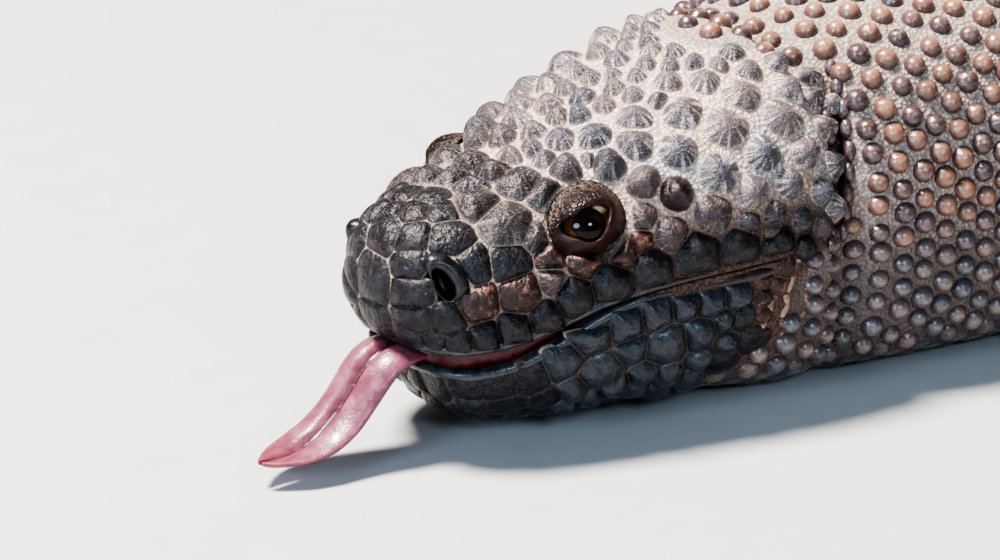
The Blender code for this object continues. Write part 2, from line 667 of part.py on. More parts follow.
def foot_pieces(name, joints, palm_place, heading):
    """Palm, ankle, toes and claws as separate closed solids, ready to be joined."""
    side = side_of(name)
    palm, toes = FEET[name[:4]]
    back, out = palm_place
    centre = Vector(place(np.array(back), out, 4.4, side))
    forward = math.pi + float(spine_heading(back)) + math.radians(heading) * side

    def pointing(angle):
        return Vector((math.cos(angle), math.sin(angle), 0))

    def along(start, line, steps):
        return [Vector((*(start + line * reach * MM).xy, level * MM)) for reach, level, _ in steps]

    ahead = pointing(forward)
    axes = (ahead, Vector((0, 0, 1)).cross(ahead), Vector((0, 0, 1)))
    pieces = [ellipsoid("palm", centre, axes, (palm, palm * 0.92, 6.0), 6)]
    back, out, level, radius = joints[-1]
    ankle = Vector(place(np.array(float(back)), out, level, side))
    neck = [ankle + (ankle - centre) * 0.4, ankle, ankle.lerp(centre, 0.75)]
    pieces.append(plain_tube("ankle", neck, [radius * 0.9, radius * 0.9, radius * 0.7], 7))
    for spread, length in zip(TOE_SPREAD, toes):
        line = pointing(forward + math.radians(spread) * side)
        reach = palm * 0.55 + length
        toe = ((0.0, 4.6, 1.0), (reach * 0.6, 4.7, 1.0), (reach, 3.0, 0.66))
        knuckles = along(centre + line * palm * 0.45 * MM, line, toe)
        pieces.append(plain_tube("toe", knuckles, [TOE_RADIUS * r for _, _, r in toe], 6))
        claw = ((-2.5, 3.4, 1.0), (CLAW_LENGTH * 0.5, 3.6, 0.8), (CLAW_LENGTH, 0.9, 0.2))
        hook = along(knuckles[-1], line, claw)
        pieces.append(plain_tube("claw", hook, [CLAW_RADIUS * r for _, _, r in claw], 4))
    return pieces


def make_limbs(trunk, hide):
    for name, (joints, palm_place, heading) in LIMBS.items():
        kind, word = name.split("_")
        skin = limb_skin(joints, side_of(name))
        rows = np.linspace(0.0, skin.rows[-1], 8)
        limb = beaded_tube(f"{kind}leg_{word}", skin, rows, 8, stud_rule(LIMB_BEAD))
        body = beaded_tube("body", trunk.grown(GAP), np.arange(120.0, 430.0, 6.0), 40, lambda *_: None)
        limb = keep_largest(combine(limb, [body], "DIFFERENCE"))
        pieces = foot_pieces(name, joints, palm_place, heading)
        foot = combine(pieces[0], pieces[1:], "UNION")
        foot.name = f"{kind}foot_{word}"
        sleeve = beaded_tube("sleeve", skin.grown(GAP), rows, 10, lambda *_: None)
        foot = keep_largest(combine(foot, [sleeve, floor_cutter()], "DIFFERENCE"))
        for made in (limb, foot):
            made.data.materials.append(hide)


def build():
    for old in list(bpy.data.objects):
        bpy.data.objects.remove(old)
    hide = material("hide", (0.075, 0.062, 0.055), 0.55)
    flesh = material("tongue_flesh", (0.62, 0.24, 0.27), 0.3)
    lining = material("mouth_lining", (0.22, 0.03, 0.04), 0.35)
    eye = material("eye", (0.05, 0.025, 0.012), 0.08)
    trunk = trunk_skin()
    make_head(trunk, hide)
    make_eyes(trunk, eye)
    make_tongue(flesh)
    make_mouth_lining(trunk, lining)
    make_trunk(trunk, hide)
    make_limbs(trunk, hide)
    whole = bpy.data.objects.new("beaded_lizard", None)
    bpy.context.scene.collection.objects.link(whole)
    for made in bpy.data.objects:
        if made.type == "MESH":
            made.parent = whole


build()
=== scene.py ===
"""The looks of the life-size Mexican beaded lizard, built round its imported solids."""

import json
import math
import random

import bmesh
import bpy
import numpy as np
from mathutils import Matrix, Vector
from mathutils.bvhtree import BVHTree
from mathutils.kdtree import KDTree

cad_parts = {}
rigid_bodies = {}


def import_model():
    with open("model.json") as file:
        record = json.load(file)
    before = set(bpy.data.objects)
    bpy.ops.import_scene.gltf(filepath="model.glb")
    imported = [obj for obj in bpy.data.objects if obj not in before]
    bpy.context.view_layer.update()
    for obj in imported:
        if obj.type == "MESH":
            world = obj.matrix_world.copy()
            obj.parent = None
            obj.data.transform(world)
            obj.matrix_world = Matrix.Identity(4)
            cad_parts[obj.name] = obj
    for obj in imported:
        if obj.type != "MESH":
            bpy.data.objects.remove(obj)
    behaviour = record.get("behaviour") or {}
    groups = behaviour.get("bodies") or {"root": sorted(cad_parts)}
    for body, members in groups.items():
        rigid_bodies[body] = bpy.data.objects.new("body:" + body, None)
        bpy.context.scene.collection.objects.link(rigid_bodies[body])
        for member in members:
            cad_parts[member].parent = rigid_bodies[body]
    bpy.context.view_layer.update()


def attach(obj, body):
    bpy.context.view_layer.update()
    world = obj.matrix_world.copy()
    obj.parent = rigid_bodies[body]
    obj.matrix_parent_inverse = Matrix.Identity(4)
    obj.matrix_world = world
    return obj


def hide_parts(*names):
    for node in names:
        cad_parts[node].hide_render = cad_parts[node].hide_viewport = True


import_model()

# The hide. One skin runs over head, neck, trunk, tail, legs and feet with no seam. Its trunk is a tube of
# rounded sections along the bent spine, with eye sockets, nostril pits and the neck's crease pressed in.
# Its leather has fine granules, pale on the crown, dark on the snout and red-brown at the mouth's corner.
MM = 0.001
# Back from the snout, half width, underside, widest level, top, squareness above and below, in mm.
SECTIONS = np.array((
    (0, 0, 30, 30, 30, 2, 2), (1.2, 7.2, 23.5, 29.5, 36, 2.1, 2.1), (4, 11.8, 20.2, 28.5, 40.4, 2.2, 2.2),
    (7, 14, 16.6, 27.5, 42.2, 2.3, 2.3), (10, 15.6, 10, 27, 43.2, 2.4, 2.4),
    (14, 17.4, 5.8, 26.5, 43.8, 2.5, 2.5), (20, 19.6, 3.4, 26, 44.8, 2.5, 2.5),
    (31, 22.8, 2.2, 26, 48.2, 2.5, 2.5), (45, 26.6, 1.8, 27, 53.2, 2.4, 2.5),
    (58, 29.8, 1.0, 28, 57.6, 2.3, 2.7), (68, 31, -0.4, 28.5, 60, 2.2, 3.0),
    (75, 31, -1.2, 28.5, 60.8, 2.2, 3.1), (79.2, 29.2, -1.2, 28, 58.8, 2.2, 3.0),
    (86, 32, -1.6, 27, 61.6, 2.3, 3.0), (110, 36, -2, 26, 64, 2.4, 2.9),
    (130, 37.4, -2, 25.5, 64.6, 2.4, 2.7), (150, 39, -2, 25, 65.2, 2.3, 2.5),
    (180, 41.6, -2, 25, 66.4, 2.3, 2.4), (230, 45.6, -2, 24, 66.6, 2.2, 2.4),
    (290, 46.8, -2, 23.5, 64.6, 2.2, 2.4), (340, 43, -1.8, 22.5, 60.4, 2.2, 2.4),
    (380, 34.4, -1.4, 21.5, 53.6, 2.2, 2.3), (410, 25.6, -0.8, 20, 46.6, 2.1, 2.2),
    (440, 21.8, -0.6, 19, 42.4, 2, 2.1), (500, 18.8, -0.5, 17, 36.8, 2, 2),
    (570, 16, -0.4, 14.4, 31.2, 2, 2), (640, 12, -0.4, 10.8, 23.2, 2, 2), (685, 8.4, -0.3, 7.6, 16, 2, 2),
    (701, 5.6, -0.2, 5.2, 10.8, 2, 2), (706, 0, 4.8, 4.8, 4.8, 2, 2)), float)
TAIL_TIP = 706.0
BELLY_MIDDLE = 265.0
BENDS = ((78, 60, math.radians(-14)), (150, 240, math.radians(22)), (430, 260, math.radians(-38)))
# Back from the snout, level of the upper lip, gap between the lips.
MOUTH = np.array((
    (-6, 20.3, 4.4), (8, 20.5, 4.4), (16, 21.4, 4.2), (25, 23.9, 3.0), (34, 26.6, 1.5), (44, 28, 0.5),
    (68.3, 29.4, 0.4)), float)
EYE_BACK, EYE_LEVEL = 31.0, 40.0
SOCKET_REACH, SOCKET_DEPTH = 9.0, 7.5
NOSTRIL_BACK, NOSTRIL_LEVEL = 5.6, 33.0
PIT_REACH, PIT_DEPTH = 4.2, 6.5
CREASE_DEPTH, CREASE_WIDTH = 3.4, 1.25
# Each leg's joints as back, way out, level and radius, then its palm's place and the way it points.
LIMBS = {
    "fore_left": (((152, 22, 26, 13), (163, 42, 28, 12), (171, 62, 25, 10.4), (159, 76, 16, 8.8),
                   (145, 86, 9, 7.2)), (136, 92), 28),
    "fore_right": (((152, 22, 26, 13), (168, 41, 28, 12), (186, 58, 25, 10.4), (186, 74, 16, 8.8),
                    (178, 86, 9, 7.2)), (171, 93), 42),
    "hind_left": (((384, 14, 25, 14.5), (370, 37, 28, 13.6), (358, 60, 25, 11.6), (368, 75, 16, 9.8),
                   (382, 86, 9.5, 8)), (390, 95), 58),
    "hind_right": (((386, 14, 25, 14.5), (378, 38, 28, 13.6), (372, 61, 25, 11.6), (388, 73, 16, 9.8),
                    (403, 82, 9.5, 8)), (412, 90), 46),
}
FEET = {"fore": (9.5, (9.5, 13, 15, 13.5, 9.5)), "hind": (10.5, (9, 13, 16, 16.5, 11))}
TOE_SPREAD = (-58, -29, -2, 25, 56)
TOE_RADIUS = 3.7
AROUND = 240
LEG_ROWS, LEG_AROUND = 61, 48
LEG_VOXEL = 1.35
JOIN_REACH = 3.5
SPINE_STEP = 0.5


def slopes(x, y):
    """Slopes at the points that keep the curve through them from swinging past them."""
    step = np.diff(x)
    rise = np.diff(y) / step
    inner = np.zeros(len(x))
    w1, w2 = 2 * step[1:] + step[:-1], step[1:] + 2 * step[:-1]
    both = rise[:-1] * rise[1:] > 0
    before, after = np.where(both, rise[:-1], 1.0), np.where(both, rise[1:], 1.0)
    inner[1:-1] = np.where(both, (w1 + w2) / (w1 / before + w2 / after), 0.0)
    inner[0], inner[-1] = rise[0], rise[-1]
    return inner


def smooth_through(x, y, at):
    """The values at the places `at` of the smooth curve through the points."""
    at = np.clip(at, x[0], x[-1])
    k = np.clip(np.searchsorted(x, at) - 1, 0, len(x) - 2)
    h = x[k + 1] - x[k]
    u = (at - x[k]) / h
    m = slopes(x, y)
    left = (1 + 2 * u) * (1 - u) ** 2 * y[k] + u * (1 - u) ** 2 * h * m[k]
    right = u * u * (3 - 2 * u) * y[k + 1] + u * u * (u - 1) * h * m[k + 1]
    return left + right


def ease(u):
    """Goes smoothly from 0 at 0 to 1 at 1."""
    u = np.clip(u, 0, 1)
    return u * u * (3 - 2 * u)


def spine_heading(back):
    return sum(turn * ease((back - start) / length) for start, length, turn in BENDS)


SPINE = np.arange(-60.0, TAIL_TIP + 1.0, SPINE_STEP)
SPINE_X = np.cumsum(np.cos(spine_heading(SPINE))) * SPINE_STEP
SPINE_Y = np.cumsum(np.sin(spine_heading(SPINE))) * SPINE_STEP
SPINE_X -= np.interp(BELLY_MIDDLE, SPINE, SPINE_X)
SPINE_Y -= np.interp(BELLY_MIDDLE, SPINE, SPINE_Y)


def place(back, out, level, side=1):
    """The point in mm at a distance back, out from the spine on the left (side 1) or the right (-1)."""
    turn = spine_heading(back)
    x = np.interp(back, SPINE, SPINE_X) + np.sin(turn) * out * side
    y = np.interp(back, SPINE, SPINE_Y) - np.cos(turn) * out * side
    return np.stack([x, y, np.broadcast_to(level, np.shape(x))], -1)


def section(back):
    return [smooth_through(SECTIONS[:, 0], SECTIONS[:, k], back) for k in range(1, 7)]


def upper_lip(back):
    return smooth_through(MOUTH[:, 0], MOUTH[:, 1], back)


def lower_lip(back):
    return upper_lip(back) - smooth_through(MOUTH[:, 0], MOUTH[:, 2], back)


def unit(v):
    return v / np.maximum(np.linalg.norm(v, axis=-1, keepdims=True), 1e-12)


def full_turn(count):
    """Angles evenly round a ring."""
    return np.linspace(0, 2 * math.pi, count + 1)[:-1]


class Surface:
    """A tube of surface in mm, looked up by place along it and by fraction round it from its underside."""

    def __init__(self, rows, table):
        self.rows, self.table = rows, table
        self.count = table.shape[1]
        ahead = np.gradient(table, axis=0)
        round_it = np.roll(table, -1, 1) - np.roll(table, 1, 1)
        normal = np.cross(ahead, round_it)
        normal[0] = normal[1].mean(0)
        normal[-1] = normal[-2].mean(0)
        self.normals = unit(normal)
        self.girth = np.linalg.norm(np.diff(table, axis=1, append=table[:, :1]), axis=2).sum(1)

    def look(self, table, along, fraction):
        r = np.interp(along, self.rows, np.arange(len(self.rows)))
        r0 = np.minimum(r.astype(int), len(self.rows) - 2)
        c = (np.asarray(fraction) % 1.0) * self.count
        c0 = c.astype(int) % self.count
        c1 = (c0 + 1) % self.count
        u, v = (r - r0)[..., None], (c - np.floor(c))[..., None]
        low = table[r0, c0] * (1 - v) + table[r0, c1] * v
        high = table[r0 + 1, c0] * (1 - v) + table[r0 + 1, c1] * v
        return low * (1 - u) + high * u

    def point(self, along, fraction):
        return self.look(self.table, np.asarray(along, float), fraction)

    def normal(self, along, fraction):
        return unit(self.look(self.normals, np.asarray(along, float), fraction))

    def girth_at(self, along):
        return np.interp(along, self.rows, self.girth)


def trunk_surface(rows, count):
    half, under, widest, top, above, below = section(rows)
    angle = np.linspace(-math.pi / 2, 1.5 * math.pi, 721)[:-1]
    upper = np.sin(angle) > 0
    table = []
    for i, back in enumerate(rows):
        power = np.where(upper, 2 / above[i], 2 / below[i])
        across = half[i] * np.sign(np.cos(angle)) * np.abs(np.cos(angle)) ** power
        tall = np.where(upper, top[i] - widest[i], widest[i] - under[i])
        level = widest[i] + tall * np.sign(np.sin(angle)) * np.abs(np.sin(angle)) ** power
        run = np.concatenate([[0.0], np.cumsum(np.hypot(np.diff(across, append=across[0]),
                                                       np.diff(level, append=level[0])))])
        want = np.arange(count) / count * run[-1]
        across = np.interp(want, run, np.append(across, across[0]))
        level = np.interp(want, run, np.append(level, level[0]))
        table.append(place(np.full(count, back), across, np.maximum(level, 0.0)))
    return Surface(rows, np.array(table))


def flank_place(back, level, side):
    """The fraction, point and normal at a level on one side of the trunk."""
    fraction = np.linspace(0.0, 0.5, 1001) * side
    line = smooth_trunk.point(np.full(1001, back), fraction)
    k = int(np.argmin(np.abs(line[:, 2] - level)))
    return fraction[k], line[k], smooth_trunk.normal(back, fraction[k])


def limb_surface(name):
    joints = np.array(LIMBS[name][0], float)
    side = side_of(name)
    stops = np.arange(len(joints), dtype=float)
    rows = np.linspace(0, stops[-1], LEG_ROWS)
    back, out, level, radius = (smooth_through(stops, joints[:, k], rows) for k in range(4))
    middle = place(back, out, level, side)
    ahead = unit(np.gradient(middle, axis=0))
    up = unit(np.array([0, 0, 1.0]) - ahead * ahead[:, 2:])
    beside = np.cross(ahead, up)
    turn = full_turn(LEG_AROUND) - math.pi / 2
    rim = np.cos(turn)[None, :, None] * beside[:, None] + np.sin(turn)[None, :, None] * up[:, None]
    table = middle[:, None] + rim * radius[:, None, None]
    table[..., 2] = np.maximum(table[..., 2], 0.5)
    return Surface(rows, table), radius


def side_of(name):
    return 1 if name.endswith("left") else -1


def foot_frame(name):
    """The palm's centre, the way it points and its sizes."""
    _, (back, out), heading = LIMBS[name]
    palm, toes = FEET[name[:4]]
    centre = place(np.array(float(back)), out, 4.4, side_of(name))
    forward = math.pi + float(spine_heading(back)) + math.radians(heading) * side_of(name)
    return centre, forward, palm, toes


def pointing(angle):
    return np.array([math.cos(angle), math.sin(angle), 0.0])


def shade_smooth(mesh):
    mesh.polygons.foreach_set("use_smooth", [True] * len(mesh.polygons))


def new_piece(name, points, faces, finishes=()):
    """A smooth-shaded mesh object from points in mm."""
    mesh = bpy.data.meshes.new(name)
    mesh.from_pydata((np.asarray(points) * MM).tolist(), [], [list(f) for f in faces])
    shade_smooth(mesh)
    for finish in finishes:
        mesh.materials.append(finish)
    made = bpy.data.objects.new(name, mesh)
    bpy.context.scene.collection.objects.link(made)
    return made


def grid_faces(rows, count, start=0):
    """Quads of a tube of rows, each a closed ring of points."""
    i, j = np.meshgrid(np.arange(rows - 1), np.arange(count), indexing="ij")
    a, b = i * count + j, i * count + (j + 1) % count
    return (np.stack([a, a + count, b + count, b], -1).reshape(-1, 4) + start).tolist()


def tube_mesh(table):
    """Points and faces of a closed tube; each end closes on a middle point."""
    rows, count = table.shape[:2]
    points = list(table.reshape(-1, 3)) + [table[0].mean(0), table[-1].mean(0)]
    faces = grid_faces(rows, count)
    first, last = rows * count, rows * count + 1
    faces += [[first, j, (j + 1) % count] for j in range(count)]
    faces += [[last, (rows - 1) * count + (j + 1) % count, (rows - 1) * count + j] for j in range(count)]
    return points, faces


def fused(made, others, operation):
    """Joins or cuts closed solids, and removes the tools."""
    tools = bpy.data.collections.new("tools")
    bpy.context.scene.collection.children.link(tools)
    for other in others:
        bpy.context.scene.collection.objects.unlink(other)
        tools.objects.link(other)
    step = made.modifiers.new("fuse", "BOOLEAN")
    step.operation = operation
    step.operand_type = "COLLECTION"
    step.collection = tools
    step.solver = "MANIFOLD"
    apply_modifiers(made)
    for other in list(tools.objects):
        bpy.data.objects.remove(other)
    bpy.data.collections.remove(tools)
    return made


def worked_out(made):
    """The mesh that a piece's modifiers give."""
    bpy.context.view_layer.update()
    return bpy.data.meshes.new_from_object(made.evaluated_get(bpy.context.evaluated_depsgraph_get()))


def apply_modifiers(made):
    result = worked_out(made)
    made.modifiers.clear()
    old = made.data
    made.data = result
    bpy.data.meshes.remove(old)


def ball(centre, axes, half, rings=16):
    turn = full_turn(2 * rings)
    lean = np.linspace(-math.pi / 2, math.pi / 2, rings + 1)[1:-1]
    spots = [(np.cos(b) * np.cos(turn), np.cos(b) * np.sin(turn), np.full(len(turn), np.sin(b)))
             for b in lean]
    table = np.array([sum(s[k][:, None] * half[k] * axes[k] for k in range(3)) for s in spots]) + centre
    return tube_mesh(table)


def round_tube(line, radii, sides=12):
    """A closed round tube through points in mm."""
    line = np.asarray(line, float)
    ahead = unit(np.gradient(line, axis=0))
    beside = unit(np.cross(ahead, np.array([0, 0, 1.0])))
    up = np.cross(beside, ahead)
    turn = full_turn(sides)
    rim = np.cos(turn)[None, :, None] * beside[:, None] + np.sin(turn)[None, :, None] * up[:, None]
    return tube_mesh(line[:, None] + rim * np.asarray(radii, float)[:, None, None])


def tree_of(points):
    """A searchable cloud of points."""
    tree = KDTree(len(points))
    for k, p in enumerate(points):
        tree.insert(p, k)
    tree.balance()
    return tree


def read(items, key, width=1, kind=np.int32):
    """One value, or a row of `width` values, for each item of a mesh."""
    values = np.empty(len(items) * width, kind)
    items.foreach_get(key, values)
    return values.reshape(-1, width) if width > 1 else values


def smooth_line(points, count):
    """More points along a smooth line through a few."""
    points = np.asarray(points, float)
    stops = np.arange(len(points), dtype=float)
    at = np.linspace(0, stops[-1], count)
    return np.stack([smooth_through(stops, points[:, k], at) for k in range(points.shape[1])], -1)


head_rows = np.concatenate([[0, 0.12, 0.35, 0.7], np.arange(1.2, 83.0, 0.72), np.arange(83.5, 142, 1.4)])
body_rows = np.concatenate([np.arange(143, 640, 5.0), np.arange(642, 704, 3.0), [704.5, 705.6, TAIL_TIP]])
smooth_trunk = trunk_surface(np.concatenate([head_rows, body_rows]), AROUND)
eye_seats = {side: flank_place(EYE_BACK, EYE_LEVEL, side) for side in (1, -1)}


def press_in(table, centre, direction, reach, depth):
    """Pushes points near a place inward, deepest at its middle."""
    gap = (table - centre) / reach
    share = ease(1 - np.linalg.norm(gap, axis=-1))
    return table + direction * (share * depth)[..., None]


def from_underside(fraction):
    """How far round from the underside, the same on both sides: 0 below, 0.5 on the back."""
    return np.abs((fraction + 0.5) % 1.0 - 0.5)


def crease_line(flank):
    """Where the crease between head and neck runs."""
    return 77.9 + (np.clip(flank, 0.2, 0.42) - 0.255) * 37


rows_mesh, fraction_mesh = np.meshgrid(smooth_trunk.rows, np.arange(AROUND) / AROUND, indexing="ij")
flank = from_underside(fraction_mesh)
crease = np.exp(-((rows_mesh - crease_line(flank)) / CREASE_WIDTH) ** 2)
crease_depth = CREASE_DEPTH * (0.06 + 0.94 * ease((flank - 0.225) / 0.05) * ease((0.43 - flank) / 0.10))
table = smooth_trunk.table - smooth_trunk.normals * (crease * crease_depth)[..., None]
for side in (1, -1):
    _, spot, normal = eye_seats[side]
    table = press_in(table, spot, -normal, SOCKET_REACH, SOCKET_DEPTH)
    _, spot, normal = flank_place(NOSTRIL_BACK, NOSTRIL_LEVEL, side)
    table = press_in(table, spot, -normal, PIT_REACH, PIT_DEPTH)

skin = new_piece("skin", *tube_mesh(table))


def hollow_of_mouth():
    """The slot between the jaws, as a prism through the head."""
    backs = np.linspace(MOUTH[0, 0], MOUTH[-1, 0], 60)
    ring = np.concatenate([np.stack([backs, upper_lip(backs)], -1),
                           np.stack([backs, lower_lip(backs)], -1)[::-1]])
    sides = [np.stack([*place(ring[:, 0], out, ring[:, 1]).T], -1) for out in (-45.0, 45.0)]
    n = len(ring)
    faces = [[i, (i + 1) % n, n + (i + 1) % n, n + i] for i in range(n)]
    faces += [list(range(n))[::-1], list(range(n, 2 * n))]
    made = new_piece("slot", np.concatenate(sides), faces)
    outward(made)
    return made


def outward(made):
    """Turns all faces of a piece outwards."""
    work = bmesh.new()
    work.from_mesh(made.data)
    bmesh.ops.triangulate(work, faces=[f for f in work.faces if len(f.verts) > 4])
    bmesh.ops.recalc_face_normals(work, faces=work.faces)
    work.to_mesh(made.data)
    work.free()


outward(skin)
skin = fused(skin, [hollow_of_mouth()], "DIFFERENCE")

limb_skins = {}
limbs = []
for name in LIMBS:
    leg, radius = limb_surface(name)
    limb_skins[name] = leg
    pieces = [new_piece(name, *tube_mesh(leg.table))]
    centre, forward, palm, toes = foot_frame(name)
    ahead = pointing(forward)
    axes = (ahead, np.cross([0, 0, 1.0], ahead), np.array([0, 0, 1.0]))
    pieces.append(new_piece("palm", *ball(centre, axes, (palm, palm * 0.92, 6.0))))
    ankle = leg.table[-1].mean(0)
    neck = [ankle + (ankle - centre) * 0.4, ankle, ankle * 0.25 + centre * 0.75]
    thickness = np.linspace(radius[-1] * 0.95, 5.4, 9)
    pieces.append(new_piece("ankle", *round_tube(smooth_line(neck, 9), thickness)))
    for spread, length in zip(TOE_SPREAD, toes):
        line = pointing(forward + math.radians(spread) * side_of(name))
        reach = palm * 0.55 + length
        start = centre + line * palm * 0.45
        steps = ((0.0, 4.6, 1.0), (0.3, 4.9, 0.96), (0.6, 4.7, 1.0), (0.85, 3.9, 0.86), (1.0, 3.0, 0.62))
        joints = [(*(start + line * (reach * share))[:2], level, TOE_RADIUS * thick)
                  for share, level, thick in steps]
        run = smooth_line(joints, 17)
        pieces.append(new_piece("toe", *round_tube(run[:, :3], run[:, 3])))
    for piece in pieces:
        outward(piece)
    limb = fused(pieces[0], pieces[1:], "UNION")
    remesh = limb.modifiers.new("even", "REMESH")
    remesh.mode = "VOXEL"
    remesh.voxel_size = LEG_VOXEL * MM
    soften = limb.modifiers.new("soften", "SMOOTH")
    soften.factor = 0.5
    soften.iterations = 5
    apply_modifiers(limb)
    limbs.append(limb)
skin = fused(skin, limbs, "UNION")

# The joins of legs and body are eased, the soles are set on the floor, and the mesh's points learn where on
# the animal they are.
work = bmesh.new()
work.from_mesh(skin.data)
bmesh.ops.remove_doubles(work, verts=work.verts, dist=0.00002)
work.verts.ensure_lookup_table()
coords = np.array([v.co for v in work.verts]) / MM
trunk_tree = tree_of(smooth_trunk.table.reshape(-1, 3))
leg_tree = tree_of(np.concatenate([s.table.reshape(-1, 3) for s in limb_skins.values()]))
near_join = []
for v, p in zip(work.verts, coords):
    if 130 < p[0] + BELLY_MIDDLE < 440 and 4 < p[2] < 60:
        if leg_tree.find(p)[2] < JOIN_REACH and trunk_tree.find(p)[2] < JOIN_REACH:
            near_join.append(v)
ring = set(near_join)
for _ in range(2):
    ring |= {e.other_vert(v) for v in list(ring) for e in v.link_edges}
for _ in range(14):
    bmesh.ops.smooth_vert(work, verts=list(ring), factor=0.5,
                          use_axis_x=True, use_axis_y=True, use_axis_z=True)
for v in work.verts:
    v.co.z = max(v.co.z, 0.0)
work.to_mesh(skin.data)
work.free()
skin_count = len(skin.data.vertices)
coords = read(skin.data.vertices, "co", 3, np.float32) / MM
nearest = np.array([trunk_tree.find(p)[1:] for p in coords])
skin_back = smooth_trunk.rows[(nearest[:, 0] // AROUND).astype(int)]
skin_round = (nearest[:, 0] % AROUND) / AROUND
skin_off = nearest[:, 1]
shade_smooth(skin.data)


def set_attribute(mesh, name, values):
    """Gives a value or a vector to each point of a mesh."""
    values = np.asarray(values, np.float32)
    kind = "FLOAT" if values.ndim == 1 else "FLOAT_VECTOR"
    made = mesh.attributes.new(name, kind, "POINT")
    made.data.foreach_set("value" if values.ndim == 1 else "vector", values.ravel())


def bell(value, middle, width):
    return np.exp(-((value - middle) / width) ** 2)


level = coords[:, 2]
half_round = from_underside(skin_round)
mouth_level = upper_lip(np.clip(skin_back, 0, 68))
# Share of the way round from the underside, and how far back the beads of the neck begin there.
NECK_START = np.array((
    (0, 50), (0.10, 52), (0.14, 57), (0.17, 62), (0.20, 65.5), (0.235, 68), (0.25, 72), (0.262, 79.5),
    (0.335, 82.3), (0.40, 84.6), (0.43, 78), (0.47, 69), (0.5, 67)))
skin_neck_start = np.interp(half_round, NECK_START[:, 0], NECK_START[:, 1])
head_share = 1 - ease((skin_back - skin_neck_start + 3) / 5)
skin_marks = {
    "pale": head_share * ease((skin_back - 12) / 18) * ease((level - mouth_level - 6) / 10),
    "neck": ease((skin_back - skin_neck_start + 2) / 4) * (1 - ease((skin_back - 135) / 50)) * (skin_off < 6),
    "snout": 1 - ease((skin_back - 16) / 16),
    # The red mark is the hide's red-brown at the mouth's corner. Along the mouth line it also darkens the
    # hide as painted shade of the groove between the lips.
    "red": np.clip(
        bell(skin_back, 61, 8) * bell(level, 17, 9) * (half_round < 0.3)
        + bell(level - mouth_level, -0.6, 3.2) * ease((skin_back - 38) / 8) * (skin_back < 70), 0, 1),
    "shade": head_share * np.maximum(
        1 - ease((level - 23) / 8),
        (1 - ease((level - mouth_level - 4.5) / 5)) * ease((skin_back - 18) / 8)),
    # The crease mark darkens the hide in the fold behind the head: painted shade.
    "crease": (bell(skin_back, crease_line(half_round), 1.6)
               * ease((half_round - 0.225) / 0.05) * ease((0.44 - half_round) / 0.1)),
    # How high a point is. It sets painted shade on the neck: the hide is darker low on the flank.
    "high": ease((level - 18) / 22),
}
for name, values in skin_marks.items():
    set_attribute(skin.data, name, values)


class Tone:
    """What a node of a finish gives. A sum written with it adds Math nodes to the finish."""

    def __init__(self, finish, socket):
        self.finish, self.socket = finish, socket

    def step(self, operation, *values):
        return self.finish.node("Math", {"operation": operation}, dict(enumerate(values)))

    def __add__(self, other):
        return self.step("ADD", self, other)

    def __sub__(self, other):
        return self.step("SUBTRACT", self, other)

    def __rsub__(self, other):
        return self.step("SUBTRACT", other, self)

    def __mul__(self, other):
        return self.step("MULTIPLY", self, other)

    __radd__, __rmul__ = __add__, __mul__

    def most(self, other):
        return self.step("MAXIMUM", self, other)

    def least(self, other):
        return self.step("MINIMUM", self, other)

    def rise(self, low, high):
        """Goes smoothly from 0 at low to 1 at high."""
        return self.finish.node("MapRange", {"interpolation_type": "SMOOTHSTEP"}, {0: self, 1: low, 2: high})


class Finish:
    """One material, made of nodes."""

    def __init__(self, name, **constants):
        self.material = bpy.data.materials.new(name)
        self.material.use_nodes = True
        self.tree = self.material.node_tree
        self.shader = self.tree.nodes["Principled BSDF"]
        for socket, value in constants.items():
            self.shader.inputs[socket.replace("_", " ")].default_value = value
        self.here = self.node("TexCoord", output="Object")

    def node(self, kind, settings=None, sockets=None, output=0):
        """Adds a node: its settings first, then the values or links of its sockets."""
        made = self.tree.nodes.new("ShaderNode" + kind)
        for key, value in (settings or {}).items():
            setattr(made, key, value)
        for key, value in (sockets or {}).items():
            if isinstance(value, Tone):
                self.tree.links.new(value.socket, made.inputs[key])
            else:
                made.inputs[key].default_value = value
        return Tone(self, made.outputs[output])

    def attributes(self, *names):
        """Numbers that the mesh's points carry."""
        return [self.node("Attribute", {"attribute_name": name}, output="Fac") for name in names]

    def noise(self, size, detail=2.0, at=None, roughness=0.5, output=0):
        """Cloudy noise with lumps about `size` mm across."""
        sockets = {"Vector": at or self.here, "Scale": 1 / (size * MM), "Detail": detail,
                   "Roughness": roughness}
        return self.node("TexNoise", sockets=sockets, output=output)

    def cells(self, size, feature="F1", at=None):
        """Packed cells about `size` mm across."""
        sockets = {"Vector": at or self.here, "Scale": 1 / (size * MM)}
        return self.node("TexVoronoi", {"feature": feature}, sockets, output="Distance")

    def stretched(self, turn, scale):
        return self.node("Mapping", sockets={"Vector": self.here, "Rotation": turn, "Scale": scale})

    def mix(self, share, first, second):
        """Goes from the first colour to the second as share goes from 0 to 1."""
        first, second = (c if isinstance(c, Tone) else (*c, 1) for c in (first, second))
        return self.node("Mix", {"data_type": "RGBA"}, {0: share, 6: first, 7: second}, output=2)

    def bump(self, height, depth, under=None):
        """Relief `depth` mm deep."""
        sockets = {"Height": height, "Strength": 1.0, "Distance": depth * MM}
        if under:
            sockets["Normal"] = under
        return self.node("Bump", sockets=sockets)

    def feed(self, **sockets):
        """Links values to the shader's inputs."""
        for socket, value in sockets.items():
            self.tree.links.new(value.socket, self.shader.inputs[socket.replace("_", " ")])


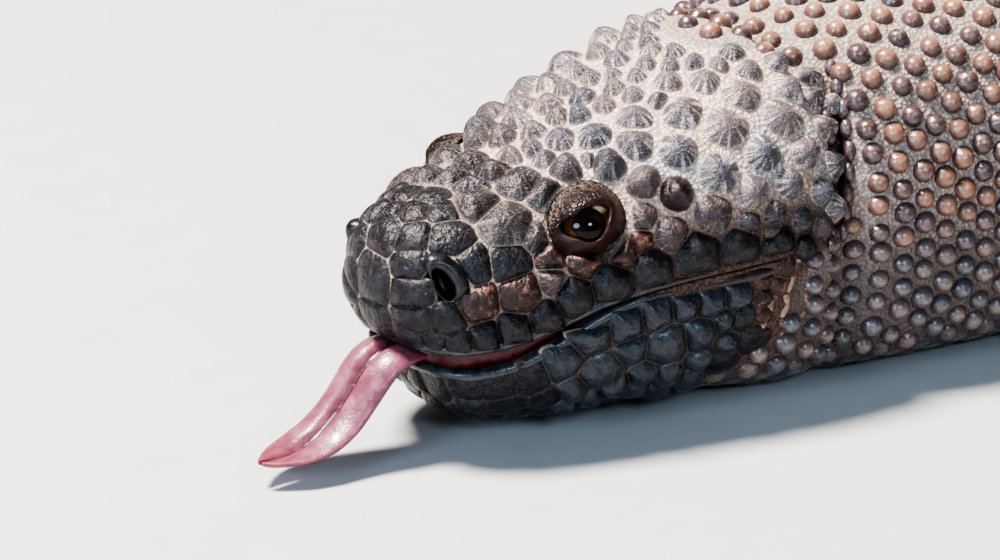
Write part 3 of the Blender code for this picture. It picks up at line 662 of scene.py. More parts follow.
hide = Finish("hide", Specular_IOR_Level=0.45)
granules = hide.cells(0.75, "F1")
folds = hide.noise(3.5, 3.0)
cool = hide.noise(9.0, 3.0)
fine = hide.noise(0.35, 3.0)
pale, neck_part, snout, red, crease_painted_shade, shade, high = hide.attributes(
    "pale", "neck", "snout", "red", "crease", "shade", "high")
tone = hide.mix(folds.rise(0.35, 0.65), (0.12, 0.085, 0.066), (0.23, 0.17, 0.13))
# The neck's hide goes from dark low on the flank to pale high up; the dark below is painted shade.
tone = hide.mix((neck_part * (0.75 + folds * 0.3)).least(1.0), tone,
                hide.mix(high, (0.13, 0.115, 0.115), (0.50, 0.40, 0.355)))
tone = hide.mix((pale * (folds.rise(0.2, 0.7) * 0.3 + 0.75)).least(1.0), tone,
                hide.mix(cool.rise(0.40, 0.62), (0.82, 0.61, 0.49), (0.64, 0.60, 0.585)))
tone = hide.mix(snout * 0.92, tone, (0.44, 0.33, 0.26))
tone = hide.mix(shade * 0.985, tone, (0.014, 0.011, 0.010))
# Red-brown hide at the mouth's corner, and painted shade along the mouth line.
tone = hide.mix((red * (0.6 + folds * 0.8)).least(1.0), tone,
                hide.mix(fine, (0.016, 0.006, 0.005), (0.085, 0.028, 0.018)))
# Painted shade in the neck's crease.
tone = hide.mix((crease_painted_shade * 0.95).least(1.0), tone, (0.025, 0.014, 0.01))
tone = hide.mix(granules.rise(0.26, 0.56) * 0.85, tone, hide.mix(0.65, tone, (0.10, 0.06, 0.045)))
lift = hide.bump(granules, -0.42)
lift = hide.bump(fine, 0.09, lift)
hide.feed(Base_Color=tone, Roughness=0.5 + fine * 0.3, Normal=lift)
skin.data.materials.clear()
skin.data.materials.append(hide.material)


# The map that colours are baked through: the trunk below, each leg and each foot in a part of its own above.
def set_map(mesh, spots):
    """Gives a mesh its baking map, one place for each corner."""
    layer = mesh.uv_layers.new(name="OFBake")
    layer.data.foreach_set("uv", spots.ravel().astype(np.float32))


def trunk_map(back, fraction):
    """A place of the trunk on the map."""
    return np.stack([np.asarray(back) / 720, 0.01 + np.asarray(fraction) * 0.68], -1)


def leg_map(number, along, fraction):
    """A place of a leg on the map; each leg has its own part."""
    return np.stack([(number + 0.02 + 0.5 * along) / 4, 0.72 + fraction * 0.27], -1)


def foot_map(number, flat, top):
    """A place of a foot on the map, top and sole apart. `flat` is its place from the palm's middle in mm."""
    return np.stack([(number + 0.77) / 4 + flat[..., 0] / 800,
                     np.where(top, 0.79, 0.925) + flat[..., 1] / 800], -1)


near_leg = np.array([leg_tree.find(p)[1:] for p in coords])
leg_number = (near_leg[:, 0] // (LEG_ROWS * LEG_AROUND)).astype(int)
leg_along = near_leg[:, 0] // LEG_AROUND % LEG_ROWS / (LEG_ROWS - 1)
leg_round = near_leg[:, 0] % LEG_AROUND / LEG_AROUND
palms = np.array([foot_frame(name)[0] for name in LIMBS])
sides_total = read(skin.data.polygons, "loop_total")
corner_point = read(skin.data.loops, "vertex_index")
owner = np.repeat(np.arange(len(sides_total)), sides_total)
first = corner_point[np.concatenate([[0], np.cumsum(sides_total)[:-1]])][owner]
faces_up = np.array([p.normal.z > 0 for p in skin.data.polygons])[owner]
number = leg_number[first]
on_leg = near_leg[first, 1] < skin_off[first]
on_foot = on_leg & (leg_along[first] > 0.985)
fraction = np.where(on_leg, leg_round[corner_point], skin_round[corner_point])
widest = np.zeros(len(sides_total))
np.maximum.at(widest, owner, fraction)
fraction = fraction + ((widest[owner] - fraction) > 0.5)
flat = (coords[corner_point] - palms[number])[:, :2]
uv = np.where(on_foot[:, None], foot_map(number, flat, faces_up),
              np.where(on_leg[:, None], leg_map(number, leg_along[corner_point], fraction),
                       trunk_map(skin_back[corner_point], fraction)))
set_map(skin.data, np.clip(uv, 0, 1))

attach(skin, "root")
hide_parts("head", "lower_jaw", "neck", "torso", "tail_base", "tail_middle", "tail_tip",
            "foreleg_left", "foreleg_right", "forefoot_left", "forefoot_right",
            "hindleg_left", "hindleg_right", "hindfoot_left", "hindfoot_right")
skin_tree = BVHTree.FromPolygons([Vector(p) for p in coords.tolist()],
                                 [list(p.vertices) for p in skin.data.polygons])

# The plates of the head. Each is a scale over a button of bone: flat and packed on the snout, domed and
# ribbed on the crown, long and glossy along the lips. Every plate fills the room that its neighbours leave.
# The places of those that the photo shows are listed; the far side mirrors them and the rest is filled in.
# Warmth gives a plate its red-brown tone and, on glossy plates, painted orange highlights.
KINDS = {  # height, reach beyond its own size, roundness of the profile, dust, gloss, warmth, gap, peak
    "snout": (0.80, 2.2, 3.6, 0.12, 0.64, 0.03, -0.10, 0.0),
    "brow": (2.10, 1.6, 2.15, 0.44, 0.72, 0.08, -0.06, 0.035),
    "ridge": (3.10, 1.5, 2.3, 0.40, 0.58, 0.10, 0.10, 0.10),
    "crest": (2.35, 1.5, 2.2, 0.75, 0.64, 0.12, 0.20, 0.18),
    "crown": (2.35, 1.28, 2.15, 0.95, 0.66, 0.10, 0.42, 0.20),
    "button": (2.9, 1.10, 2.1, 0.04, 0.95, 0.18, 0.45, 0.0),
    "cheek": (1.90, 1.45, 2.2, 0.40, 0.80, 0.26, 0.12, 0.09),
    "lip2": (1.75, 1.8, 2.3, 0.10, 0.92, 0.60, -0.04, 0.0),
    "lip": (1.95, 1.8, 2.4, 0.08, 0.95, 0.06, 0.0, 0.0),
    "chin_front": (0.40, 2.4, 6.0, 0.05, 0.62, 0.0, -0.06, 0.0),
    "jaw": (1.90, 1.8, 2.15, 0.05, 0.97, 0.0, 0.02, 0.0),
    "chin": (0.80, 1.8, 2.8, 0.06, 0.70, 0.0, 0.05, 0.0),
    "corner": (0.85, 1.5, 2.2, 0.05, 0.80, 0.60, 0.20, 0.0),
}
PLATES = {   # back from the snout, hundredths of the way round from the underside, size in mm
    "snout": ((2.8, 49.9, 2.8), (4.6, 42.1, 2.7), (8.5, 38.6, 3.2), (6.8, 57.9, 2.2), (8.1, 48.1, 2.5),
              (11.0, 45.2, 2.3), (0.3, 54.6, 4.2), (2.6, 36.0, 2.8), (1.8, 28.1, 3.0), (1.0, 99.5, 3.3),
              (2.2, 19.1, 2.8), (9.8, 33.6, 3.0), (5.8, 21.5, 2.5), (16.7, 34.0, 2.8)),
    "brow": ((16.4, 44.0, 3.3), (18.3, 39.2, 4.0), (17.4, 55.3, 2.3), (19.3, 51.6, 2.5), (25.2, 58.0, 2.5),
             (23.9, 52.4, 2.3), (24.2, 48.2, 2.8), (25.2, 44.1, 3.3), (27.1, 40.8, 2.7), (21.7, 36.2, 2.0)),
    "ridge": ((32.7, 42.4, 2.7), (38.8, 40.3, 3.0), (42.4, 36.6, 2.7), (29.3, 55.5, 2.3), (31.8, 52.8, 2.5)),
    "crest": ((28.7, 48.6, 2.3), (31.7, 47.7, 2.2), (35.1, 50.1, 2.2), (36.0, 46.3, 2.7), (40.1, 43.9, 3.0),
              (44.2, 40.7, 3.2), (39.7, 40.4, 1.7), (47.8, 43.5, 2.8), (42.1, 48.2, 2.3), (46.4, 47.2, 2.0),
              (40.1, 49.5, 2.2), (36.7, 41.7, 1.5), (31.4, 45.0, 1.8)),
    "crown": ((49.9, 37.9, 3.3), (54.6, 41.3, 3.7), (59.6, 38.1, 4.0), (65.5, 40.5, 3.7), (70.4, 37.2, 3.7),
              (74.6, 39.4, 3.0), (63.8, 34.7, 3.3), (72.2, 33.8, 2.8), (54.8, 34.3, 3.7), (59.9, 31.8, 3.2),
              (67.2, 31.7, 2.8), (73.8, 30.2, 2.2), (79.0, 35.9, 2.2), (78.2, 32.4, 2.2), (61.9, 43.2, 3.0),
              (56.9, 45.0, 2.5), (52.9, 43.6, 2.0), (50.7, 46.0, 2.0), (52.4, 50.1, 1.7), (54.5, 48.0, 1.8),
              (69.7, 42.4, 2.5), (66.2, 44.1, 2.0), (63.2, 45.6, 2.0), (75.9, 42.2, 2.2), (81.4, 40.5, 1.7),
              (82.2, 37.4, 1.5)),
    "button": ((46.7, 34.2, 3.3),),
    "cheek": ((40.0, 33.3, 2.3), (44.0, 30.7, 3.0), (52.0, 31.2, 3.3), (58.4, 29.3, 1.8), (63.3, 29.5, 2.0),
              (68.8, 28.3, 1.8), (73.4, 27.3, 1.8), (62.8, 27.9, 1.3)),
    "lip2": ((10.3, 27.9, 2.8), (17.5, 29.6, 3.2), (23.4, 33.4, 2.3), (28.6, 31.5, 2.3), (35.3, 30.7, 2.2),
             (39.1, 31.2, 1.7)),
    "lip": ((11.4, 22.5, 2.3), (16.1, 24.6, 2.7), (21.2, 26.0, 2.5), (26.1, 27.7, 2.8), (33.1, 27.9, 2.8),
            (40.3, 28.2, 2.8), (48.4, 27.6, 3.7), (56.3, 27.1, 3.2), (63.7, 26.8, 2.7), (69.0, 25.9, 1.5)),
    "chin_front": (
        (10.5, 97.0, 2.2), (9.4, 5.2, 2.7), (10.9, 11.4, 2.7), (15.0, 15.3, 3.0), (19.9, 17.2, 2.7)),
    "jaw": ((24.8, 19.3, 2.8), (29.6, 22.3, 3.2), (35.8, 22.5, 2.8), (41.1, 22.8, 2.7), (46.3, 22.9, 2.2),
            (50.8, 22.5, 2.3), (56.1, 22.5, 2.2), (32.5, 16.8, 3.3), (37.2, 19.2, 2.3), (43.8, 18.8, 3.7),
            (49.3, 19.4, 2.8), (53.7, 20.3, 1.5), (54.9, 18.0, 1.5), (50.8, 16.3, 1.8), (46.1, 14.0, 2.5),
            (41.5, 12.4, 2.5)),
}


def fill_kind(back, hundredth, height):
    """What a plate would be in an empty place of the head, and its size."""
    up = min(hundredth, 100 - hundredth)
    if height > upper_lip(back):
        if back < 14:
            return "snout", 2.3
        if back < 24:
            return ("brow", 2.6) if up > 36 else ("cheek", 2.2)
        if up < (33 if back < 60 else 28):
            return "cheek", 1.9
        if back < 48:
            return "crest", 2.5
        return "crown", 2.1 if up > 43 else 2.5
    if back > 60 and height > 8:
        return "corner", 1.45
    if up < 10 or back > 52:
        return "chin", 2.3 if back < 60 else 1.8
    return ("chin_front", 2.9) if back < 28 else ("jaw", 2.4)


NOSTRIL_WIDE, NOSTRIL_TALL, NOSTRIL_ROLL = 1.35, 2.9, 2.7
NOSTRIL_LEAN = math.radians(-30)


def nostril_axes(side):
    """The nostril's middle, the way across it, the way along it, and out."""
    _, spot, normal = flank_place(NOSTRIL_BACK, NOSTRIL_LEVEL, side)
    along = unit(np.cross([0, 0, 1.0], normal)) * side
    up = np.cross(normal, along) * side
    return (spot, along * math.cos(NOSTRIL_LEAN) - up * math.sin(NOSTRIL_LEAN),
            along * math.sin(NOSTRIL_LEAN) + up * math.cos(NOSTRIL_LEAN), normal)


def roll_share(turn):
    """How much of the roll of hide stands round the nostril at an angle: all of it above and behind."""
    return 0.10 + 0.90 * ease((np.cos(turn - 0.55) + 0.30) / 0.95)


nostril_spots = {side: nostril_axes(side) for side in (1, -1)}
EYE_ROOM, EYE_ROOM_LESS = 7.7, 2.3
NO_PLATE_EYE, NO_PLATE_NOSTRIL = 9.6, 5.0
MIRROR_TIGHT, FILL_TIGHT = 0.8, 0.93
random.seed(31)
plates = []
plate_spots = []


def try_plate(kind, back, hundredth, size, tight=0.0):
    """Sets a plate, unless it is behind the head or closer to another than their sizes times `tight`."""
    if back > np.interp(from_underside(hundredth / 100), *NECK_START.T) - 1.2:
        return
    spot = smooth_trunk.point(back, hundredth / 100)
    if tight and plate_spots:
        gaps = np.linalg.norm(np.array(plate_spots) - spot, axis=1) - np.array([p[3] for p in plates]) * tight
        if gaps.min() < size * tight:
            return
    plates.append((kind, back, hundredth, size))
    plate_spots.append(spot)


listed = [(kind, *plate) for kind, group in PLATES.items() for plate in group]
for plate in listed:
    try_plate(*plate)
for kind, back, hundredth, size in listed:
    if hundredth < 47.8 and back > 0.5:
        back += random.uniform(-0.25, 0.25)
        hundredth = 100 - hundredth + random.uniform(-0.15, 0.15)
        try_plate(kind, back, hundredth, size, MIRROR_TIGHT)
candidates = [(b, h) for b in np.arange(0.6, 83.0, 0.55) for h in np.arange(0.3, 50.0, 0.35)]
random.shuffle(candidates)
for back, hundredth in candidates:
    spot = smooth_trunk.point(back, hundredth / 100)
    if (back < 2.5 and hundredth < 10) or back > np.interp(hundredth / 100, *NECK_START.T) - 3.4:
        continue
    over, under = spot[2] - upper_lip(back), lower_lip(back) - spot[2]
    if max(over, under) < 1.4 or (back > 58 and spot[2] < 1.0):
        continue
    if np.linalg.norm(spot - eye_seats[1][1]) < NO_PLATE_EYE:
        continue
    if np.linalg.norm(spot - nostril_spots[1][0]) < NO_PLATE_NOSTRIL:
        continue
    kind, size = fill_kind(back, hundredth, spot[2])
    size *= random.uniform(0.9, 1.1)
    try_plate(kind, back, hundredth, size, FILL_TIGHT)
    try_plate(kind, back, 100 - hundredth, size, FILL_TIGHT)

SEGMENTS = 30
RINGS = (0.0, 0.25, 0.47, 0.66, 0.81, 0.93, 1.0, 1.03)
TURN = full_turn(SEGMENTS)
NEIGHBOUR_REACH = 13


def plate_rim(index, tangent, across):
    """How far the plate reaches in each direction before its neighbours, the lips, an eye or a nostril."""
    kind, back, hundredth, size = plates[index]
    _, reach, _, _, _, _, gap, _ = KINDS[kind]
    spot = plate_spots[index]
    near = np.linalg.norm(spots - spot, axis=1)
    near = np.where((near < NEIGHBOUR_REACH) & (near > 0.01))[0]
    walls = []
    for k in near:
        away = spots[k] - spot
        flat = np.array([away @ tangent, away @ across])
        length = np.linalg.norm(away)
        if np.linalg.norm(flat) < 0.3 * length:
            continue
        bound = (length ** 2 + size ** 2 - sizes[k] ** 2) / (2 * length) - gap / 2
        walls.append((math.atan2(flat[1], flat[0]), max(bound, 0.5)))
    side = 1 if hundredth < 50 else -1
    middle, wide_way, tall_way, _ = nostril_spots[side]
    toward = unit(middle - spot)
    roll = NOSTRIL_ROLL * roll_share(math.atan2(-toward @ tall_way, -toward @ wide_way))
    round_nostril = math.hypot((NOSTRIL_WIDE + roll) * (toward @ wide_way),
                               (NOSTRIL_TALL + roll) * (toward @ tall_way))
    eye = eye_seats[side][1]
    below_eye = max(unit(eye - spot)[2], 0.0)
    for other, radius in ((eye, EYE_ROOM - EYE_ROOM_LESS * below_eye ** 2), (middle, round_nostril)):
        away = other - spot
        if np.linalg.norm(away) < radius + size * 2:
            walls.append((math.atan2(away @ across, away @ tangent), max(np.linalg.norm(away) - radius, 0.6)))
    over, under = spot[2] - upper_lip(back), lower_lip(back) - spot[2]
    bare = ease((back - 38) / 10)
    for room, down in ((over - 0.7 * bare, -1.0), (under - 0.5 - 1.3 * bare, 1.0)):
        if 0 < room < 9 and back < 69:
            slope = np.array([tangent[2], across[2]]) * down
            steep = np.linalg.norm(slope)
            if steep > 0.15:
                walls.append((math.atan2(slope[1], slope[0]), max((room - 0.1) / steep, 0.6)))
    corner = 6 if kind in ("crown", "crest", "ridge", "button", "cheek") else 20
    inverse = np.full(SEGMENTS, (1 / (size * reach)) ** corner)
    for angle, bound in walls:
        inverse += (np.maximum(np.cos(TURN - angle), 0.0) / bound) ** corner
    return inverse ** (-1 / corner)


def shell_of(table):
    """A searchable surface of a table of rings."""
    return BVHTree.FromPolygons([Vector(p) for p in table.reshape(-1, 3)], grid_faces(*table.shape[:2]))


spots = np.array(plate_spots)
sizes = np.array([p[3] for p in plates])
HEAD_ROWS = 150
trunk_shell = shell_of(smooth_trunk.table[:HEAD_ROWS])


class Coat:
    """Gathers many plates as one joined mesh, with what its material needs to know of each."""

    def __init__(self):
        self.points, self.faces, self.marks, self.maps = [], [], [], []

    def add(self, points, faces, marks, patch):
        start = sum(len(p) for p in self.points)
        self.points.append(points)
        self.faces += [[k + start for k in face] for face in faces]
        self.marks.append(marks)
        self.maps.append(patch)

    def make(self, name, finish, names):
        made = new_piece(name, np.concatenate(self.points), self.faces, [finish])
        marks = np.concatenate(self.marks)
        for k, mark in enumerate(names):
            set_attribute(made.data, mark, marks[:, k])
        set_map(made.data, np.concatenate(self.maps)[read(made.data.loops, "vertex_index")])
        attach(made, "root")
        return made


def fan_faces(rings, segments):
    """Faces of a dome whose first point is its top."""
    faces = [[0, 1 + j, 1 + (j + 1) % segments] for j in range(segments)]
    for i in range(rings - 1):
        for j in range(segments):
            a, b = 1 + i * segments + j, 1 + i * segments + (j + 1) % segments
            faces.append([a, a + segments, b + segments, b])
    return faces


PLATE_MARKS = ("dust", "gloss", "warm", "tint", "rim", "streak_x", "streak_y", "peak")
SUNK, ROOT_DEPTH = 0.06, 0.55
PATCH = 0.0014      # half the width of a plate or a bead on the map
head_coat, jaw_coat = Coat(), Coat()
plate_faces = fan_faces(len(RINGS) - 1, SEGMENTS)
ring_share = np.array([r for r in RINGS[1:] for _ in range(SEGMENTS)])
ring_turn = np.tile(np.arange(SEGMENTS), len(RINGS) - 1)
for index, (kind, back, hundredth, size) in enumerate(plates):
    height, reach, power, dust, gloss, warm, gap, peak = KINDS[kind]
    spot = plate_spots[index]
    normal = smooth_trunk.normal(back, hundredth / 100)
    tangent = np.array([1.0, 0, 0]) - normal * normal[0]
    if np.linalg.norm(tangent) < 0.2:
        tangent = np.array([0, 0, 1.0]) - normal * normal[2]
    tangent = unit(tangent)
    across = np.cross(normal, tangent)
    rim = plate_rim(index, tangent, across)
    wide = rim.mean()
    tint = random.random()
    ribs = random.randint(6, 9)
    phase = random.uniform(0, 6.28)
    share = np.concatenate([[0.0], ring_share])
    turn = np.concatenate([[0.0], TURN[ring_turn]])
    flat = np.minimum(share, 1.03)[:, None] * np.concatenate([[0.0], rim[ring_turn]])[:, None]
    shift = flat * np.stack([np.cos(turn), np.sin(turn)], -1)
    tall = height * min(1.0, wide / 2.2) * random.uniform(0.88, 1.1)
    inside = np.minimum(share, 1.0)
    profile = (1 - inside ** power) ** 0.9 * (1 - peak) + (1 - inside) ** 1.25 * peak
    profile *= 1 + 0.10 * peak * np.sin(ribs * turn + phase) * np.sin(inside * 3.14)
    lift = profile * tall - SUNK
    lift[share > 1] = -ROOT_DEPTH
    points = []
    for x, y, up in zip(shift[:, 0], shift[:, 1], lift):
        from_above = Vector(spot + tangent * x + across * y + normal * 4)
        hit, facing, _, _ = trunk_shell.ray_cast(from_above, Vector(-normal), 9.0)
        if hit is None:
            hit, facing, _, _ = trunk_shell.find_nearest(Vector(spot + tangent * x + across * y))
        points.append(np.array(hit) + (normal * 0.6 + np.array(facing) * 0.4) * up)
    dust *= 0.55 + 0.75 * max(float(normal[2]), 0.0)
    streak = (np.cos(turn) + index * 3.7, np.sin(turn) + tint * 9)
    marks = np.stack(np.broadcast_arrays(dust, gloss, warm, tint, share, *streak, peak), -1)
    patch = trunk_map(back, hundredth / 100) + shift / max(wide, 0.5) * PATCH
    coat = head_coat if spot[2] > upper_lip(back) or back < 2.5 else jaw_coat
    coat.add(np.array(points), plate_faces, marks, patch)

horn = Finish("plate_horn", Specular_IOR_Level=0.34, Coat_Roughness=0.24)
dust, gloss, warm, tint, rim, streak_x, streak_y, peak = horn.attributes(*PLATE_MARKS)
spin = horn.node("CombineXYZ", sockets={"X": streak_x, "Y": streak_y})
streaks = horn.node("TexNoise", sockets={"Vector": spin, "Scale": 3.0, "Detail": 4.0, "Distortion": 0.6})
cloud = horn.noise(1.6, 4.0)
scratch = horn.noise(0.45, 4.0, at=horn.stretched((0.3, 0.2, 0.9), (0.45, 2.0, 2.0)))
speck = horn.noise(0.28, 4.0, roughness=0.65)
flake = horn.cells(0.55, "DISTANCE_TO_EDGE", at=horn.stretched((0.5, 0.9, 0.2), (0.8, 1.5, 1.2)))
tone = horn.mix(cloud.rise(0.35, 0.7), (0.003, 0.003, 0.0045), (0.018, 0.018, 0.024))
# In the colour, the jaw plates are made lighter and blue-grey: painted reflection of cool sky light on their
# gloss.
on_jaw = gloss.rise(0.955, 0.97)
tone = horn.mix(on_jaw * 0.8, tone, horn.mix(cloud, (0.008, 0.010, 0.014), (0.044, 0.050, 0.062)))
tone = horn.mix((peak * 5.0).least(1.0) * 0.9, tone,
                horn.mix(tint, (0.044, 0.050, 0.070), (0.118, 0.090, 0.090)))
tone = horn.mix((warm * (0.1 + cloud * 1.1)).least(1.0), tone,
                horn.mix(tint, (0.040, 0.013, 0.010), (0.12, 0.042, 0.026)))
# Orange specks on warm glossy plates: painted highlights, glints of warm light on the scales.
tone = horn.mix(warm * gloss * speck.rise(0.42, 0.62) * cloud.rise(0.53, 0.65) * 0.9, tone,
                (0.50, 0.23, 0.13))
powder = (streaks.rise(0.46, 0.66) * rim.rise(0.25, 0.85) * (0.25 + peak * 3.0).least(1.0)
          + rim.rise(0.86, 1.0) * 0.45 + (1 - flake.rise(0.0, 0.07)) * 0.22 + scratch.rise(0.57, 0.72) * 0.5)
powder = powder * dust * speck.rise(0.36, 0.60) * 1.25
tone = horn.mix(powder.least(0.92), tone, (0.74, 0.62, 0.54))
tone = horn.mix(rim.rise(0.955, 0.995) * (dust * 5.0 + on_jaw * 0.4).least(0.8), tone, (0.42, 0.32, 0.25))
lift = horn.bump(streaks * peak * rim.rise(0.1, 0.5), 0.8)
lift = horn.bump(scratch, 0.10, lift)
lift = horn.bump(speck, 0.025, lift)
lift = horn.bump(horn.noise(0.8, 3.0), 0.22, lift)
lift = horn.bump(cloud, 0.30, lift)
horn.feed(Base_Color=tone, Roughness=(0.44 - gloss * 0.34 + scratch * 0.16 + powder * 0.16).most(0.12),
          Coat_Weight=on_jaw * speck.rise(0.40, 0.62) * cloud.rise(0.3, 0.6) * 0.7, Normal=lift)
for made in (head_coat.make("head_plates", horn.material, PLATE_MARKS),
             jaw_coat.make("jaw_plates", horn.material, PLATE_MARKS)):
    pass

# The lips. Along each jaw the lip plates end in a smooth rounded edge of bare hide, blue-black and
# wet-looking. Behind it lies the red lining of the mouth, a plump sheet of gum set back a little.
LIP_END, LIP_ROWS = 68, 420


def flank_out(back, height):
    """How far out from the spine the side of the head is at a level."""
    half, under, widest, top, above, below = section(back)
    upper = height > widest
    tall = np.where(upper, top - widest, widest - under)
    power = np.where(upper, above, below)
    share = np.clip(1 - (np.abs(height - widest) / np.maximum(tall, 0.1)) ** power, 0, 1)
    return half * share ** (1 / power)


def lip_run(upper, inward, drop):
    """Points along one lip from corner to corner, round the front."""
    first = 5.0 if upper else 7.6
    backs = first + (LIP_END - first) * np.linspace(0, 1, 90) ** 1.8
    far = ease((backs - 38) / 12)
    height = upper_lip(backs) + drop if upper else lower_lip(backs) - drop - 0.9 * far
    out = np.maximum(flank_out(backs, height) - inward - (0 if upper else 0.45) * far, 0.0)
    start = int(np.argmax(out > 0.5))
    left = place(backs[start:], out[start:], height[start:], 1)
    right = place(backs[start:], out[start:], height[start:], -1)
    bend = np.linspace(-1, 1, 13)[1:-1]
    nose_back = backs[start] - 0.5 * (1 - bend ** 2)
    nose = place(nose_back, -bend * out[start], np.full(11, height[start]), 1)
    return np.concatenate([left[::-1], nose, right])


lip_hide = Finish("lip_hide", Specular_IOR_Level=0.6)
cloud = lip_hide.noise(1.8, 3.0)
fine = lip_hide.noise(0.3, 3.0)
tone = lip_hide.mix(cloud.rise(0.3, 0.7), (0.008, 0.010, 0.014), (0.034, 0.037, 0.046))
corner, = lip_hide.attributes("corner")
tone = lip_hide.mix(corner, tone, lip_hide.mix(cloud, (0.008, 0.003, 0.003), (0.028, 0.010, 0.008)))
lip_hide.feed(Base_Color=tone, Roughness=0.20 + fine * 0.18, Normal=lip_hide.bump(fine, 0.05))
for upper, name in ((True, "lip_upper"), (False, "lip_lower")):
    run = lip_run(upper, 0.75, 0.30 if upper else 0.62)
    stretch = np.concatenate([[0], np.cumsum(np.linalg.norm(np.diff(run, axis=0), axis=1))])
    even = np.linspace(0, stretch[-1], LIP_ROWS)
    line = np.stack([np.interp(even, stretch, run[:, k]) for k in range(3)], -1)
    swell = 0.92 + 0.10 * np.abs(np.sin(even / 5.4 * math.pi)) ** 0.5
    taper = ease(np.minimum(even, even[-1] - even) / 8.0)
    far_back = ease((line[:, 0] - run[:, 0].min() - 38) / 14)
    thick = swell * (0.3 + 0.7 * taper) * (1 + (-0.4 if upper else 0.65) * far_back)
    lip = new_piece(name, *round_tube(line, thick, 14), [lip_hide.material])
    lip_back = np.array([v.co.x for v in lip.data.vertices]) / MM - place(np.array(0.0), 0.0, 0.0)[0]
    set_attribute(lip.data, "corner", ease((lip_back - 34) / 12))
    outward(lip)
    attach(lip, "root")

GUM_START, GUM_END, GUM_SET_BACK = 5.2, 64, 2.3
GUM_ROWS, GUM_LEVELS = 110, 9
backs = GUM_START + (GUM_END - GUM_START) * np.linspace(0, 1, GUM_ROWS) ** 1.5
levels = np.linspace(0, 1, GUM_LEVELS)
lining_rows = []
for back in backs:
    top_level, low_level = upper_lip(back) + 0.4, lower_lip(back) - 0.4
    height = low_level + (top_level - low_level) * levels
    row = np.full(GUM_LEVELS, back)
    out = np.maximum(flank_out(row, height) - GUM_SET_BACK, 0.15) + 0.55 * np.sin(levels * math.pi)
    left = place(row, out, height, 1)
    right = place(row, out, height, -1)
    lining_rows.append(np.concatenate([left, right[::-1]]))
lining = new_piece("mouth_gum", *tube_mesh(np.array(lining_rows)))
outward(lining)
flesh = Finish("wet_gum", Specular_IOR_Level=0.35, Coat_Roughness=0.08, Coat_Weight=0.12)
cloud = flesh.noise(2.2, 3.0)
fine = flesh.noise(0.4, 3.0)
flesh.feed(Base_Color=flesh.mix(cloud.rise(0.3, 0.75), (0.022, 0.003, 0.005), (0.085, 0.010, 0.016)),
           Roughness=0.26 + fine * 0.2, Normal=flesh.bump(cloud, 0.4, flesh.bump(fine, 0.08)))
lining.data.materials.append(flesh.material)
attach(lining, "root")
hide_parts("mouth_lining")

# The folds behind the corner of the mouth: three soft pale ridges of hide that run down the side of the jaw,
# where the skin gathers when the mouth is nearly shut. Each is a thin tube half sunk in the skin.
FOLDS = (  # back from the snout, hundredths of the way round from the underside, radius
    ((69.6, 26.2, 0.2), (68.6, 25.2, 0.6), (66.9, 24.4, 0.75), (66.7, 23.2, 0.55), (65.4, 22.2, 0.85),
     (65.7, 21.0, 0.6), (64.9, 19.9, 0.75), (65.6, 18.6, 0.5), (65.2, 17.4, 0.2)),
    ((63.9, 23.2, 0.2), (63.6, 22.2, 0.55), (62.4, 21.3, 0.7), (62.5, 20.3, 0.5), (61.4, 19.4, 0.65),
     (61.2, 18.0, 0.2)),
    ((70.6, 23.0, 0.2), (69.8, 21.9, 0.6), (70.1, 20.8, 0.5), (69.2, 19.8, 0.6), (69.3, 18.4, 0.2)))
FOLD_SUNK = 0.3


def joined(tubes):
    """Points and faces of several tubes as one mesh."""
    points, faces = [], []
    for tube_points, tube_faces in tubes:
        faces += [[k + len(points) for k in face] for face in tube_faces]
        points += list(tube_points)
    return points, faces


fold_hide = Finish("fold_hide", Specular_IOR_Level=0.45)
cloud, fine = fold_hide.noise(1.3, 3.0), fold_hide.noise(0.35, 3.0)
fold_hide.feed(Base_Color=fold_hide.mix(cloud.rise(0.35, 0.65), (0.085, 0.038, 0.027), (0.36, 0.24, 0.185)),
               Roughness=0.42 + fine * 0.3, Normal=fold_hide.bump(cloud, 0.9, fold_hide.bump(fine, 0.25)))
for side, name in ((1, "left"), (-1, "right")):
    tubes = []
    for fold in FOLDS:
        back, hundredth, radius = smooth_line(fold, 40).T
        spot = (back, hundredth / 100 * side)
        line = smooth_trunk.point(*spot) - smooth_trunk.normal(*spot) * FOLD_SUNK
        tubes.append(round_tube(line, radius))
    fold = new_piece("mouth_folds_" + name, *joined(tubes), [fold_hide.material])
    outward(fold)
    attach(fold, "root")

# The tongue, out over the lower lip and down to the floor: two plump wet lobes of flesh with a deep groove
# between them, darker and spooned at the tip, which is cut into a short fork.
TONGUE = np.array((   # back from the snout, level, half width, half thickness
    (14, 18.7, 4, 1.2), (9, 18.2, 5.6, 1.5), (4, 18, 6.2, 1.8), (1.4, 17.2, 6.3, 2), (-0.8, 15.4, 6.3, 2.1),
    (-2.8, 13, 6.2, 2.1), (-4.8, 10.6, 6.1, 2), (-8, 7.8, 6.2, 1.8), (-12, 5.8, 6.2, 1.5),
    (-17, 4.8, 5.2, 1.2), (-21.6, 4.6, 2.6, 0.9), (-23.4, 4.7, 0.9, 0.5)))
TONGUE_ROWS, TONGUE_AROUND = 150, 72
line = smooth_line(TONGUE, TONGUE_ROWS)
middle = np.stack([line[:, 0], line[:, 1]], -1)
ahead = unit(np.gradient(middle, axis=0))
over = np.stack([ahead[:, 1], -ahead[:, 0]], -1)
turn = full_turn(TONGUE_AROUND)
tongue_rows, tongue_down, tongue_side = [], [], []
